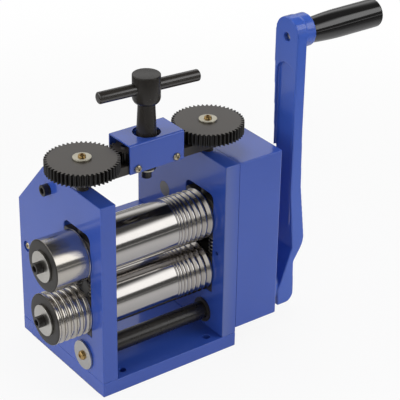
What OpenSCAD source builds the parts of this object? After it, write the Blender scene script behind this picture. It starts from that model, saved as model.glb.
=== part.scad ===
// Bench rolling mill for sheet and wire: two hardened rolls between side plates, extension
// rollers on the left, a gearbox and crank on the right, and a geared top screw adjustment.
// Millimetres, +X from the extension rollers to the crank, +Y to the rear, +Z up.
// The origin is the centre of the base plate's underside.

/* [Rolls] */
// Diameter of both rolls and of the extension rollers
roll_d = 45; // [43:0.5:47]
// Length of the roll barrel between the side plates
barrel_l = 107.5; // [100:0.5:120]
// Opening between the rolls as drawn
roll_gap = 6.2; // [4:0.1:6.8]
// Largest opening between the rolls
gap_max = 7; // [7:0.1:8]
// Height of the lower roll's axis above the bench
lower_roll_z = 70.1; // [69:0.1:73]
// Distance of the roll axes behind the front of the frame
roll_setback = 36.8; // [36:0.1:42]
// Diameter of the roll journals
journal_d = 25; // [22:0.5:26]
// Diameter of the roll ends that carry the extension rollers and gears
stub_d = 20; // [17:0.5:21]
// Gap between a roll barrel's end and a side plate
side_play = 0.5; // [0.4:0.1:1]
// Number of vee grooves for square wire
vee_count = 8; // [3:1:8]
// Width of the smallest vee groove
vee_first_w = 1.3; // [1:0.1:1.6]
// Growth in width from one vee groove to the next
vee_step_w = 0.55; // [0.3:0.05:0.6]
// Land between two vee grooves
vee_land = 1.2; // [0.8:0.1:1.4]
// Land between the last vee groove and the barrel's end
vee_end_land = 2; // [1.5:0.1:3]

/* [Extension rollers] */
// Length of an extension roller
ext_l = 31; // [28:0.5:36]
// Number of half round wire grooves in the lower extension roller
ext_groove_count = 5; // [2:1:5]
// Radius of a half round groove
ext_groove_r = 2.2; // [1:0.1:2.4]
// Spacing of the half round grooves
ext_groove_pitch = 5.8; // [5.2:0.1:6]
// Chamfer on the extension rollers' edges
ext_chamfer = 0.8; // [0.4:0.1:1.2]
// Diameter of the washer that holds an extension roller
ext_washer_d = 27; // [24:0.5:32]
// Thickness of the washer that holds an extension roller
ext_washer_t = 2; // [1.5:0.1:3]
// Thickness of the thrust ring behind an extension roller
thrust_t = 1.2; // [1:0.1:1.6]

/* [Frame] */
// Thickness of a side plate
plate_t = 14.5; // [13:0.1:16]
// Depth of the frame from front to rear
frame_d = 130; // [126:1:136]
// Height of the side plates' tops above the bench
frame_h = 180; // [178:0.5:182]
// Height of the side plates' rear shoulders above the bench
shoulder_h = 133; // [125:1:140]
// Length of the side plates' flat tops
flat_top_l = 88; // [84:1:95]
// Thickness of the base plate
base_t = 13.2; // [10:0.1:15]
// Diameter of the bench mounting holes
base_hole_d = 6.5; // [5:0.1:8]
// Distance of the bench mounting holes from the side plates' inner faces
base_hole_side = 10.25; // [10:0.05:14]
// Distance of the bench mounting holes from the front and rear edges
base_hole_edge = 9.5; // [9:0.5:12]
// Depth of the rear tie bar
tie_d = 20; // [16:0.5:24]
// Thickness of the rear tie bar
tie_t = 8; // [7:0.5:12]
// Thread diameter of the socket screw in the left side plate
post_screw_d = 6; // [4:1:8]

/* [Bearings] */
// Width of the bearing windows in the side plates
window_w = 39; // [37:0.5:40]
// Corner radius of the bearing windows
window_r = 6; // [3:0.5:8]
// Height of a bearing block above its roll axis
block_up = 19; // [18:0.5:20]
// Height of a bearing block on the side towards the other block
block_in = 17; // [16.5:0.1:17.5]
// Wall of the bronze journal bushes
bush_wall = 2.5; // [1.5:0.1:3]
// Wire diameter of the lift springs
spring_wire = 1.4; // [1:0.1:1.6]
// Mean coil diameter of the lift springs
spring_d = 7; // [6:0.1:8]
// Number of turns of a lift spring
spring_turns = 6; // [4:1:7]
// Distance of the lift springs in front of and behind the roll axis
spring_offset = 12; // [11:0.5:13]

/* [Top adjustment] */
// Module of the adjusting gears
top_module = 1.2; // [1.2:0.01:1.25]
// Teeth of each large adjusting gear
adjust_teeth = 49; // [45:1:50]
// Teeth of each idler and of the handle's pinion
idler_teeth = 18; // [17:1:18]
// Thickness of the large adjusting gears
adjust_gear_t = 10.6; // [8:0.1:12]
// Diameter of the adjusting screws
screw_d = 10; // [8:0.5:11]
// Height of the cross bar's underside above the side plates
bar_lift = 8.1; // [8:0.1:10]
// Thickness of the cross bar
bar_t = 8; // [6:0.5:10]
// Width of the channel cover, front to rear
channel_w = 31; // [29:0.1:34]
// Length of the channel cover
channel_l = 53; // [48:0.5:55]
// Height of the channel cover above the cross bar's underside
channel_h = 25.7; // [25:0.1:30]
// Sheet thickness of the channel cover
channel_t = 1.5; // [1:0.1:2]
// Diameter of the hole in the channel cover's top
channel_hole_d = 23.4; // [23:0.1:26]
// Diameter of the handle's hub
hub_d = 23.4; // [20:0.1:28]
// Height of the handle's hub
hub_h = 25.4; // [24:0.1:32]
// Height of the hub's top above the channel cover
hub_top = 50.9; // [45:0.1:60]
// Diameter of the neck under the hub
neck_d = 14.4; // [12:0.1:16]
// Diameter of the cross handle
t_bar_d = 10; // [8:0.5:12]
// Length of the cross handle
t_bar_l = 92.8; // [80:0.1:110]
// Shift of the cross handle to the right of the hub's centre
t_bar_shift = 2.3; // [0:0.1:4]
// Turn of the cross handle away from the roll axis, in degrees
t_bar_turn = -4.9; // [-20:0.1:20]

/* [Drive] */
// Module of the crank pinion and its gear
drive_module = 1.75; // [1.7:0.01:1.8]
// Teeth of the crank pinion
pinion_teeth = 14; // [13:1:15]
// Teeth of the gear on the lower roll
drive_teeth = 35; // [34:1:36]
// Distance of the drive shaft behind the front of the frame
shaft_setback = 28.7; // [27:0.1:31]
// Diameter of the drive shaft
shaft_d = 16; // [14:0.5:17]
// Diameter of the washer at the drive shaft's left end
shaft_washer_d = 25.8; // [24:0.1:32]
// Width of the gearbox cover, left to right
cover_w = 45.2; // [44:0.1:50]
// Wall of the gearbox cover
cover_wall = 2.5; // [2:0.1:4]
// Height of the gearbox cover's lower edge above the bench
cover_bottom = 18.4; // [16:0.1:22]
// Rounding of the gearbox cover's outer edges
cover_r = 2.5; // [1:0.1:3]
// Diameter of the stays that carry the gearbox cover
stay_d = 14; // [12:0.5:16]
// Distance of the stays behind the front of the frame
stay_setback = 88.3; // [80:0.1:92]
// Heights of the upper and lower stay above the bench
stay_top_z = 121.9; // [115:0.1:124]
stay_low_z = 45; // [42:1:60]

/* [Crank] */
// Distance from the drive shaft to the grip
crank_l = 239; // [200:1:260]
// Width of the crank arm at its ends
arm_w = 29.4; // [26:0.1:30]
// Thickness of the crank arm
arm_t = 10.2; // [9:0.1:14]
// Gap between the gearbox cover and the crank's hub
crank_gap = 1.5; // [1:0.1:6]
// Length of the boss under the grip
boss_l = 9.9; // [6:0.1:12]
// Depth of the long recess in the arm's inner face
recess_deep = 3; // [2:0.1:4]
// Length of the grip
grip_l = 77; // [70:0.5:90]
// Largest diameter of the grip
grip_d = 24.8; // [22:0.1:26]
// Diameter of the grip at the boss
grip_root_d = 20.6; // [17:0.1:22]
// Diameter of the bolt that the grip turns on
grip_bolt_d = 6; // [5:0.5:7]

/* [Hidden] */
$fn = 96;

// Fits: radial running clearance, radial clearance of fixed parts, and seat gap between faces
run_fit = 0.05;
fixed_fit = 0.01;
seat_gap = 0.3;
// Overshoot of a cutting shape past the face that it cuts
cut = 1;

paint_blue = [0.25, 0.33, 0.68];
ground_steel = [0.75, 0.75, 0.76];
black_oxide = [0.16, 0.15, 0.14];
zinc = [0.78, 0.76, 0.68];
brass_zinc = [0.75, 0.6, 0.3];
bronze = [0.72, 0.5, 0.28];

// Frame
front_y = -frame_d / 2;
inner_x = barrel_l / 2 + side_play;
outer_x = inner_x + plate_t;
plate_mid_x = inner_x + plate_t / 2;

// Roll axes
roll_y = front_y + roll_setback;
upper_roll_z = lower_roll_z + roll_d + roll_gap;

// Bearing windows and blocks
window_bottom = lower_roll_z - block_up;
window_head_room = 5.1;
window_top = lower_roll_z + roll_d + gap_max + block_up + window_head_room;
block_side_play = 0.1;
block_w = window_w - 2 * block_side_play;
block_chamfer = 2;
bush_d = journal_d + 2 * run_fit + 2 * bush_wall;
block_gap_bottom = lower_roll_z + block_in;
block_gap_top = upper_roll_z - block_in;
spring_pocket = 3;
spring_pocket_d = spring_d + spring_wire + 1;
screw_pocket = 2;

// Rear tie bar, whose top lies just under the strip that leaves the rolls
tie_top = lower_roll_z + roll_d / 2 - 0.3;
tie_z = tie_top - tie_t / 2 + 1;
tie_y = frame_d / 2 - tie_d / 2 - 0.8;
tie_screw_d = 4;
tie_sink_d = 9.8;
tie_sink = 2.4;

// Screws that hold the side plates to the base, from below
frame_screw_d = 8;
frame_screw_l = 20;
frame_screw_y = [front_y + 9, frame_d / 2 - 15];

// Pattern of the bench mounting holes
base_hole_x = 2 * (inner_x - base_hole_side);
base_hole_y = frame_d - 2 * base_hole_edge;

// Socket screw in the left side plate's outer face
post_y = front_y + 79.6;
post_z = 162.8;

// Small oil hole beside the rolls in the right side plate
oil_hole_d = 3.5;
oil_hole_y = front_y + 10.7;
oil_hole_z = 93.4;

// Extension rollers and their thrust rings, outwards from the left side plate
thrust_x = -outer_x - seat_gap;
ext_in_x = thrust_x - thrust_t;
ext_out_x = ext_in_x - ext_l;
stub_end_x = ext_out_x + 2;
thrust_d = roll_d - 0.6;
ext_screw_d = 6;

// Roll gears for a changing centre distance: deep, slender teeth
roll_gear_teeth = 15;
roll_gear_in = roll_d / 2 - 4.3;
roll_gear_out = roll_d / 2 + 3.9;
roll_gear_w = 14;
gear_in_x = outer_x + 1.5;
gear_out_x = gear_in_x + roll_gear_w;
clip_t = 1.5;
clip_d = stub_d + 6;
key_w = 5;

// Crank pinion and the gear on the lower roll
drive_w = 12;
drive_in_x = gear_out_x + 2;
drive_out_x = drive_in_x + drive_w;
drive_distance = drive_module * (pinion_teeth + drive_teeth) / 2;
shaft_y = front_y + shaft_setback;
shaft_z = lower_roll_z - sqrt(drive_distance * drive_distance - pow(roll_y - shaft_y, 2));
drive_angle = atan2(shaft_y - roll_y, lower_roll_z - shaft_z);
pinion_extra = 0.5;

// Gearbox cover and its stays
cover_x = outer_x + cover_w;
cover_top = frame_h - 0.4;
stay_y = front_y + stay_setback;
stay_z = [stay_top_z, stay_low_z];
cover_screw_d = 5;
notch_w = shaft_d + 2;

// Drive shaft bushes
shaft_bush_d = shaft_d + 2 * run_fit + 4;
shaft_bush_flange_d = shaft_bush_d + 2.4;
shaft_bush_flange_t = 1.5;
shaft_washer_t = 2;
shaft_screw_d = 5;

// Top adjustment
idler_distance = top_module * idler_teeth;
adjust_x = idler_distance + top_module * (idler_teeth + adjust_teeth) / 2;
bar_z = frame_h + bar_lift;
bar_top = bar_z + bar_t;
bar_w = channel_w - 2 * channel_t - 0.04;
bar_end_r = bar_w / 2;
gear_lift = 0.6;
gear_z = bar_top + gear_lift;
gear_top = gear_z + adjust_gear_t;
idler_t = adjust_gear_t - 1;
idler_pin_d = 6;
screw_flange_d = screw_d + 6;
screw_flange_t = 1.5;
screw_end_z = upper_roll_z + block_up - screw_pocket + seat_gap;
gear_bore_d = screw_d;
gear_washer_d = screw_d + 5.5;
gear_washer_t = 1.6;
gear_screw_d = 4;
channel_top = bar_z + channel_h;
channel_bend_r = 2;
channel_screw_d = 4;
channel_screw_x = channel_l / 2 - 7.5;
channel_screw_z = bar_z + bar_t / 2;

// Handle
hub_z = channel_top + hub_top;
hub_bottom = hub_z - hub_h;
hub_chamfer = 4;
t_bar_z = hub_z - 11.5;
neck_flare_d = neck_d + 2.8;
flange_d = channel_hole_d - 1.4;
flange_z = gear_z - 0.3 + idler_t;
flange_top = channel_top - 6.5;
handle_journal_d = 12;
handle_bush_d = handle_journal_d + 2 * run_fit + 3;
handle_bush_end = bar_z - 6.2;
handle_end = handle_bush_end - seat_gap;
handle_washer_d = 16;
handle_washer_t = 1.2;
handle_screw_d = 5;
handle_head_taller = 3;

// Crank
crank_y = shaft_y;
grip_z = shaft_z + crank_l;
hub_in_x = cover_x + crank_gap;
arm_in_x = cover_x + 22.5;
arm_out_x = arm_in_x + arm_t;
hub_out_x = cover_x + 30.8;
hub_drop = arm_w / 2 + 1.5;
hub_w = 17.6;
arm_top_rise = 2.8;
boss_x = arm_out_x + boss_l;
shaft_end_x = hub_out_x - 1;
arm_waist = 3;
recess_w = arm_w - 6.2;
bolt_head_d = grip_bolt_d + 4;
bolt_head_h = 4;
bolt_sink = 5;
grip_end_x = boss_x + seat_gap + grip_l;

// Cap screw head: width and height from the thread diameter; button heads are lower
function cap_head_d(d) = d * 1.5 + 1;
function button_head_d(d) = d * 1.6 + 0.2;

// A solid turned about an axis along X: outline points are [distance from the axis, x]
module turned_x(outline) {
    rotate([0, 90, 0]) rotate_extrude() polygon(outline);
}

// A cylinder along X from x0 to x1
module rod_x(d, x0, x1) {
    translate([x0, 0, 0]) rotate([0, 90, 0]) cylinder(d = d, h = x1 - x0);
}

// A ring along X from x0 to x1
module ring_x(d, bore, x0, x1) {
    difference() {
        rod_x(d, x0, x1);
        rod_x(bore, x0 - cut, x1 + cut);
    }
}

// An outline of [y, z] points given thickness along X from x0 to x1
module slab_x(x0, x1) {
    translate([x0, 0, 0]) rotate([90, 0, 90]) linear_extrude(height = x1 - x0) children();
}

module at_upper() { translate([0, roll_y, upper_roll_z]) children(); }
module at_lower() { translate([0, roll_y, lower_roll_z]) children(); }
module at_shaft() { translate([0, shaft_y, shaft_z]) children(); }
module at_top() { translate([0, roll_y, 0]) children(); }

// Socket cap screw with its head's face at the origin and its shank along -Z
module cap_screw(d, l, taller = 0) {
    difference() {
        union() {
            cylinder(d = cap_head_d(d), h = d + taller);
            translate([0, 0, -l]) cylinder(d = d, h = l + d / 2);
        }
        translate([0, 0, d * 0.45 + taller]) cylinder(d = d, h = d, $fn = 6);
    }
}

// Low domed socket screw, head on the origin's plane and shank along -Z
module button_screw(d, l) {
    head_r = button_head_d(d) / 2;
    head_h = d * 0.55;
    difference() {
        union() {
            rotate_extrude() polygon([[0, 0], [head_r, 0], [head_r, head_h * 0.4],
                [head_r * 0.85, head_h * 0.75], [head_r * 0.5, head_h], [0, head_h]]);
            translate([0, 0, -l]) cylinder(d = d, h = l + head_h / 2);
        }
        translate([0, 0, head_h * 0.45]) cylinder(d = d * 0.68, h = head_h, $fn = 6);
    }
}

// Involute angle in degrees at a pressure angle in degrees
function involute(a) = tan(a) * 180 / PI - a;
pressure = 20;
gear_play = 0.25;

// Half the angle of a tooth at radius r
function half_tooth(r, teeth, mod) =
    let (rp = teeth * mod / 2, rb = rp * cos(pressure))
    90 / teeth - gear_play / teeth / mod * 180 / PI + involute(pressure)
    - (r > rb ? involute(acos(rb / r)) : 0);

// Outline of a spur gear whose first tooth points along +X
function gear_outline(teeth, mod) =
    let (out = mod * (teeth / 2 + 1), in = mod * (teeth / 2 - 1.25),
        radii = [for (k = [0 : 3]) in + (out - in) * k / 3])
    [for (i = [0 : teeth - 1], s = [-1, 1], k = [0 : 3])
        let (r = radii[s < 0 ? k : 3 - k], a = 360 * i / teeth + s * half_tooth(r, teeth, mod))
        [r * cos(a), r * sin(a)]];

// Outline of a roll gear, with tooth widths at its root, middle and tip
roll_tooth_w = [4.6, 3.6, 1.6];
function roll_gear_outline() =
    [for (i = [0 : roll_gear_teeth - 1], s = [-1, 1], k = [0 : 2])
        let (j = s < 0 ? k : 2 - k, r = roll_gear_in + (roll_gear_out - roll_gear_in) * j / 2,
            a = 360 * i / roll_gear_teeth + s * roll_tooth_w[j] / r * 90 / PI)
        [r * cos(a), r * sin(a)]];

// Outline with round corners: each corner is [x, y, radius]
function corner_arc(p, q, s, r, steps = 6) =
    let (u = (p - q) / norm(p - q), v = (s - q) / norm(s - q), half = acos(u * v) / 2,
        m = (u + v) / norm(u + v), c = q + m * r / sin(half), t = q + u * r / tan(half),
        a0 = atan2(t[1] - c[1], t[0] - c[0]), turn = u[0] * v[1] - u[1] * v[0] > 0 ? -1 : 1)
    r == 0 ? [q] : [for (k = [0 : steps])
        let (a = a0 + turn * (180 - 2 * half) * k / steps) c + r * [cos(a), sin(a)]];
function round_outline(pts) =
    let (n = len(pts))
    [for (i = [0 : n - 1])
        let (p = pts[(i + n - 1) % n], q = pts[i], s = pts[(i + 1) % n])
        each corner_arc([p[0], p[1]], [q[0], q[1]], [s[0], s[1]], q[2])];

// Frame

module base_plate() {
    color(paint_blue) difference() {
        translate([-outer_x, front_y, 0]) cube([2 * outer_x, frame_d, base_t]);
        for (x = [-1, 1], y = [-1, 1])
            translate([x * base_hole_x / 2, y * base_hole_y / 2, -cut])
                cylinder(d = base_hole_d, h = base_t + 2 * cut);
        for (x = [-1, 1], y = frame_screw_y) translate([x * plate_mid_x, y, -cut]) {
            cylinder(d = frame_screw_d + 2 * fixed_fit, h = base_t + 2 * cut);
            cylinder(d = cap_head_d(frame_screw_d) + 1, h = frame_screw_d + cut);
        }
    }
}

function plate_outline(bottom, top) = [[front_y, bottom], [frame_d / 2, bottom],
    [frame_d / 2, shoulder_h], [front_y + flat_top_l, top], [front_y, top]];

// Side plate with its bearing window, adjusting screw hole and drive shaft hole
module side_plate(side) {
    x0 = side > 0 ? inner_x : -outer_x;
    difference() {
        slab_x(x0, x0 + plate_t) polygon(plate_outline(base_t, frame_h));
        slab_x(x0 - cut, x0 + plate_t + cut) polygon(round_outline([
            [roll_y - window_w / 2, window_bottom, 0], [roll_y + window_w / 2, window_bottom, 0],
            [roll_y + window_w / 2, window_top, window_r],
            [roll_y - window_w / 2, window_top, window_r]]));
        at_shaft() rod_x(shaft_bush_d + 2 * fixed_fit, x0 - cut, x0 + plate_t + cut);
        at_top() translate([side * adjust_x, 0, window_top - cut])
            cylinder(d = screw_d + 2 * run_fit, h = frame_h - window_top + 2 * cut);
        translate([0, tie_y, tie_z])
            rod_x(tie_screw_d + 2 * fixed_fit, x0 - cut, x0 + plate_t + cut);
        translate([side * outer_x, tie_y, tie_z]) rod_x(tie_sink_d, -tie_sink, tie_sink);
        for (y = frame_screw_y) translate([side * plate_mid_x, y, base_t - cut])
            cylinder(d = frame_screw_d + 2 * fixed_fit, h = frame_screw_l - frame_screw_d + cut);
    }
}

module left_side_plate() {
    color(paint_blue) difference() {
        side_plate(-1);
        translate([0, post_y, post_z])
            rod_x(post_screw_d + 2 * fixed_fit, -outer_x - cut, -inner_x - 2);
    }
}

module right_side_plate() {
    color(paint_blue) difference() {
        side_plate(1);
        for (z = stay_z) translate([0, stay_y, z])
            rod_x(stay_d + 2 * fixed_fit, inner_x - cut, outer_x + cut);
        translate([0, oil_hole_y, oil_hole_z]) rod_x(oil_hole_d, inner_x - cut, inner_x + 6);
    }
}

module rear_tie_bar() {
    color(paint_blue) difference() {
        translate([-inner_x, frame_d / 2 - tie_d, tie_top - tie_t])
            cube([2 * inner_x, tie_d, tie_t]);
        for (s = [-1, 1]) translate([s * inner_x - 12, tie_y, tie_z])
            rod_x(tie_screw_d + 2 * fixed_fit, 0, 24);
    }
}

module tie_bar_screws() {
    color(brass_zinc) for (s = [-1, 1]) translate([s * (outer_x - tie_sink), tie_y, tie_z])
        rotate([0, s * 90, 0]) button_screw(tie_screw_d, plate_t + 8);
}

module frame_screws() {
    color(black_oxide) for (x = [-1, 1], y = frame_screw_y)
        translate([x * plate_mid_x, y, frame_screw_d]) rotate([180, 0, 0])
            cap_screw(frame_screw_d, frame_screw_l - frame_screw_d);
}

module left_plate_screw() {
    color(black_oxide) translate([-outer_x, post_y, post_z]) rotate([0, -90, 0])
        cap_screw(post_screw_d, plate_t - 3);
}

// Gearbox

// Outline of the cover from above, with its two outer corners rounded
module cover_plan(grow) {
    polygon(round_outline([[outer_x - grow, front_y + cover_wall - grow, 0],
        [cover_x - cover_wall + grow, front_y + cover_wall - grow, cover_r * grow / cover_wall],
        [cover_x - cover_wall + grow, frame_d / 2 - cover_wall + grow,
            cover_r * grow / cover_wall],
        [outer_x - grow, frame_d / 2 - cover_wall + grow, 0]]));
}

module gearbox_cover() {
    slope = atan2(cover_top - shoulder_h, frame_d - flat_top_l);
    inset = cover_wall * tan(slope / 2);
    color(paint_blue) difference() {
        intersection() {
            slab_x(outer_x, cover_x) polygon(plate_outline(cover_bottom, cover_top));
            translate([0, 0, cover_bottom]) linear_extrude(height = cover_top)
                cover_plan(cover_wall);
        }
        slab_x(outer_x - cut, cover_x - cover_wall) polygon([
            [front_y + cover_wall, cover_bottom - cut],
            [frame_d / 2 - cover_wall, cover_bottom - cut],
            [frame_d / 2 - cover_wall, shoulder_h - cover_wall * tan((90 - slope) / 2)],
            [front_y + flat_top_l - inset, cover_top - cover_wall],
            [front_y + cover_wall, cover_top - cover_wall]]);
        at_shaft() rod_x(notch_w, cover_x - cover_wall - cut, cover_x + cut);
        translate([cover_x - cover_wall - cut, shaft_y - notch_w / 2, cover_bottom - cut])
            cube([cover_wall + 2 * cut, notch_w, shaft_z - cover_bottom + cut]);
        for (z = stay_z) translate([0, stay_y, z])
            rod_x(cover_screw_d + 2 * fixed_fit, cover_x - cover_wall - cut, cover_x + cut);
    }
}

module cover_stays() {
    color(ground_steel) for (z = stay_z) translate([0, stay_y, z]) difference() {
        rod_x(stay_d, inner_x, cover_x - cover_wall);
        rod_x(cover_screw_d + 2 * fixed_fit, cover_x - cover_wall - 14, cover_x);
    }
}

module cover_screws() {
    color(brass_zinc) for (z = stay_z) translate([cover_x, stay_y, z])
        rotate([0, 90, 0]) button_screw(cover_screw_d, cover_wall + 12);
}

// Bearings

// Pair of bearing blocks from z0 to z1 with a bored seat at the roll axis
module bearing_blocks(z0, z1, axis_z, chamfer = 0) {
    for (s = [-1, 1]) difference() {
        slab_x(s * plate_mid_x - plate_t / 2, s * plate_mid_x + plate_t / 2)
            translate([roll_y - block_w / 2, z0]) polygon([[0, 0], [block_w, 0],
                [block_w, z1 - z0 - chamfer], [block_w - chamfer, z1 - z0],
                [chamfer, z1 - z0], [0, z1 - z0 - chamfer]]);
        translate([0, roll_y, axis_z]) rod_x(bush_d + 2 * fixed_fit,
            s * plate_mid_x - plate_t / 2 - cut, s * plate_mid_x + plate_t / 2 + cut);
        for (y = [-1, 1])
            translate([s * plate_mid_x, roll_y + y * spring_offset, (block_gap_bottom
                + block_gap_top) / 2 - spring_well / 2]) cylinder(d = spring_pocket_d,
                h = spring_well);
        at_top() translate([s * adjust_x, 0, upper_roll_z + block_up - screw_pocket])
            cylinder(d = screw_d + 2, h = screw_pocket + cut);
    }
}
spring_well = block_gap_top - block_gap_bottom + 2 * spring_pocket;

module lower_bearing_blocks() {
    color(black_oxide) bearing_blocks(window_bottom, block_gap_bottom, lower_roll_z);
}

module upper_bearing_blocks() {
    color(black_oxide) bearing_blocks(block_gap_top, upper_roll_z + block_up, upper_roll_z,
        block_chamfer);
}

module journal_bushes() {
    for (s = [-1, 1]) ring_x(bush_d, journal_d + 2 * run_fit,
        s * plate_mid_x - plate_t / 2, s * plate_mid_x + plate_t / 2);
}

module lower_bushes() { color(bronze) at_lower() journal_bushes(); }
module upper_bushes() { color(bronze) at_upper() journal_bushes(); }

module shaft_bushes() {
    color(bronze) at_shaft() for (s = [-1, 1]) difference() {
        union() {
            rod_x(shaft_bush_d, s * plate_mid_x - plate_t / 2, s * plate_mid_x + plate_t / 2);
            rod_x(shaft_bush_flange_d, min(s * inner_x, s * (inner_x - shaft_bush_flange_t)),
                max(s * inner_x, s * (inner_x - shaft_bush_flange_t)));
        }
        rod_x(shaft_d + 2 * run_fit, s * plate_mid_x - plate_t, s * plate_mid_x + plate_t);
    }
}

// Coil spring as one swept tube of six sides, eight rings to a turn
spring_rings = 8;
spring_sides = 6;
spring_z0 = block_gap_bottom - spring_pocket;
spring_h = spring_well;
spring_pitch = (spring_h - spring_wire - 0.1) / spring_turns;
function spring_point(i) =
    let (a = 360 * i / spring_rings)
    [spring_d / 2 * cos(a), spring_d / 2 * sin(a),
        spring_wire / 2 + 0.05 + spring_pitch * i / spring_rings];
function spring_ring(i) =
    let (a = 360 * i / spring_rings, c = spring_point(i))
    [for (k = [0 : spring_sides - 1]) let (b = 360 * k / spring_sides, r = spring_wire / 2)
        c + [r * cos(b) * cos(a), r * cos(b) * sin(a), r * sin(b)]];
// Least distance between the wire's own points half a turn or more apart, less the wire
spring_n = spring_turns * spring_rings;
echo(spring_least_gap = min([for (i = [0 : spring_n], j = [i + spring_rings / 2 : spring_n])
    norm(spring_point(i) - spring_point(j))]) - spring_wire);

module coil_spring() {
    n = spring_n;
    m = spring_sides;
    points = [for (i = [0 : n]) each spring_ring(i)];
    sides = [for (i = [0 : n - 1], k = [0 : m - 1], half = [0, 1])
        let (a = i * m + k, b = i * m + (k + 1) % m)
        half == 0 ? [a, b, b + m] : [a, b + m, a + m]];
    first = [for (k = [1 : m - 2]) [0, k + 1, k]];
    last = [for (k = [1 : m - 2]) [n * m, n * m + k, n * m + k + 1]];
    polyhedron(points = points, faces = concat(sides, first, last));
}

module lift_springs() {
    color(ground_steel) for (s = [-1, 1], y = [-1, 1])
        translate([s * plate_mid_x, roll_y + y * spring_offset, spring_z0]) coil_spring();
}

// Rolls

// Centre of vee groove i along the barrel, measured from its right end
function vee_w(i) = vee_first_w + i * vee_step_w;
function vee_in(i) = i == vee_count - 1 ? vee_end_land + vee_w(i) / 2
    : vee_in(i + 1) + (vee_w(i) + vee_w(i + 1)) / 2 + vee_land;

// A roll with its journals, its stub for the extension roller and its gear end
module roll(end_x) {
    r = roll_d / 2;
    edge = 0.6;
    vees = [for (i = [0 : vee_count - 1])
        let (x = barrel_l / 2 - vee_in(i), w = vee_w(i) / 2)
        each [[r, x - w], [r - w, x], [r, x + w]]];
    difference() {
        turned_x(concat(
            [[0, stub_end_x], [stub_d / 2 - edge, stub_end_x],
                [stub_d / 2, stub_end_x + edge], [stub_d / 2, thrust_x],
                [journal_d / 2, thrust_x], [journal_d / 2, -barrel_l / 2],
                [r - edge, -barrel_l / 2], [r, -barrel_l / 2 + edge]],
            vees,
            [[r, barrel_l / 2 - edge], [r - edge, barrel_l / 2], [journal_d / 2, barrel_l / 2],
                [journal_d / 2, gear_in_x], [stub_d / 2, gear_in_x],
                [stub_d / 2, end_x - edge], [stub_d / 2 - edge, end_x], [0, end_x]]));
        rod_x(ext_screw_d + 2 * fixed_fit, stub_end_x - cut, stub_end_x + 20);
    }
}

module upper_roll() {
    color(ground_steel) at_upper() roll(gear_out_x + clip_t + 1);
}

module lower_roll() {
    color(ground_steel) at_lower() roll(drive_out_x + clip_t + 1);
}

module thrust_ring() {
    color(ground_steel) ring_x(thrust_d, stub_d + 2 * fixed_fit, ext_in_x, thrust_x);
}

module upper_thrust_ring() { at_upper() thrust_ring(); }
module lower_thrust_ring() { at_lower() thrust_ring(); }

// Extension roller: the outline between its two edges is given from right to left
module extension_roller(surface) {
    r = roll_d / 2;
    c = ext_chamfer;
    bore = stub_d / 2 + fixed_fit;
    turned_x(concat([[bore, ext_in_x], [r - c, ext_in_x], [r, ext_in_x - c]], surface,
        [[r, ext_out_x + c], [r - c, ext_out_x], [bore, ext_out_x]]));
}

module upper_extension_roller() {
    color(ground_steel) at_upper() extension_roller([]);
}

// Round grooves start beside the side plate and leave a wider land at the outer end
module lower_extension_roller() {
    first = ext_in_x - ext_groove_pitch / 2 - 0.4;
    steps = 8;
    grooves = [for (i = [0 : ext_groove_count - 1], k = [0 : steps])
        let (x = first - i * ext_groove_pitch, a = 180 * k / steps)
        [roll_d / 2 - ext_groove_r * sin(a), x + ext_groove_r * cos(a)]];
    color(ground_steel) at_lower() extension_roller(grooves);
}

module extension_washer() {
    color(zinc) ring_x(ext_washer_d, ext_screw_d + 2 * fixed_fit,
        ext_out_x - ext_washer_t, ext_out_x);
}

module extension_screw() {
    color(black_oxide) translate([ext_out_x - ext_washer_t, 0, 0]) rotate([0, -90, 0])
        cap_screw(ext_screw_d, ext_washer_t + 16);
}

module upper_extension_washer() { at_upper() extension_washer(); }
module lower_extension_washer() { at_lower() extension_washer(); }
module upper_extension_screw() { at_upper() extension_screw(); }
module lower_extension_screw() { at_lower() extension_screw(); }

// Gears on the rolls: the first tooth points down, towards the other roll or the pinion
module roll_gear() {
    color(ground_steel) difference() {
        translate([gear_in_x, 0, 0]) rotate([0, 90, 0])
            linear_extrude(height = roll_gear_w) polygon(roll_gear_outline());
        rod_x(stub_d + 2 * fixed_fit, gear_in_x - cut, gear_out_x + cut);
    }
}

module upper_roll_gear() { at_upper() roll_gear(); }
module lower_roll_gear() { at_lower() roll_gear(); }

module drive_gear() {
    color(ground_steel) at_lower() difference() {
        union() {
            translate([drive_in_x, 0, 0]) rotate([0, 90, 0]) rotate(drive_angle)
                linear_extrude(height = drive_w) polygon(gear_outline(drive_teeth, drive_module));
            rod_x(stub_d + 10, gear_out_x, drive_in_x + 1);
        }
        rod_x(stub_d + 2 * fixed_fit, gear_out_x - cut, drive_out_x + cut);
    }
}

module roll_clip(x) {
    color(black_oxide) ring_x(clip_d, stub_d + 2 * fixed_fit, x, x + clip_t);
}

module upper_roll_clip() { at_upper() roll_clip(gear_out_x); }
module lower_roll_clip() { at_lower() roll_clip(drive_out_x); }

// Drive shaft and crank

module drive_shaft() {
    x0 = -outer_x - seat_gap;
    color(black_oxide) at_shaft() difference() {
        rod_x(shaft_d, x0, shaft_end_x);
        rod_x(shaft_screw_d + 2 * fixed_fit, x0 - cut, x0 + 16);
        rod_x(shaft_screw_d + 2 * fixed_fit, shaft_end_x - 16, shaft_end_x + cut);
    }
}

module drive_pinion() {
    color(ground_steel) at_shaft() difference() {
        translate([drive_in_x - pinion_extra, 0, 0]) rotate([0, 90, 0])
            rotate(drive_angle + 180 + 180 / pinion_teeth)
            linear_extrude(height = drive_w + 2 * pinion_extra)
            polygon(gear_outline(pinion_teeth, drive_module));
        rod_x(shaft_d + 2 * fixed_fit, drive_in_x - cut - pinion_extra,
            drive_out_x + cut + pinion_extra);
    }
}

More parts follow.
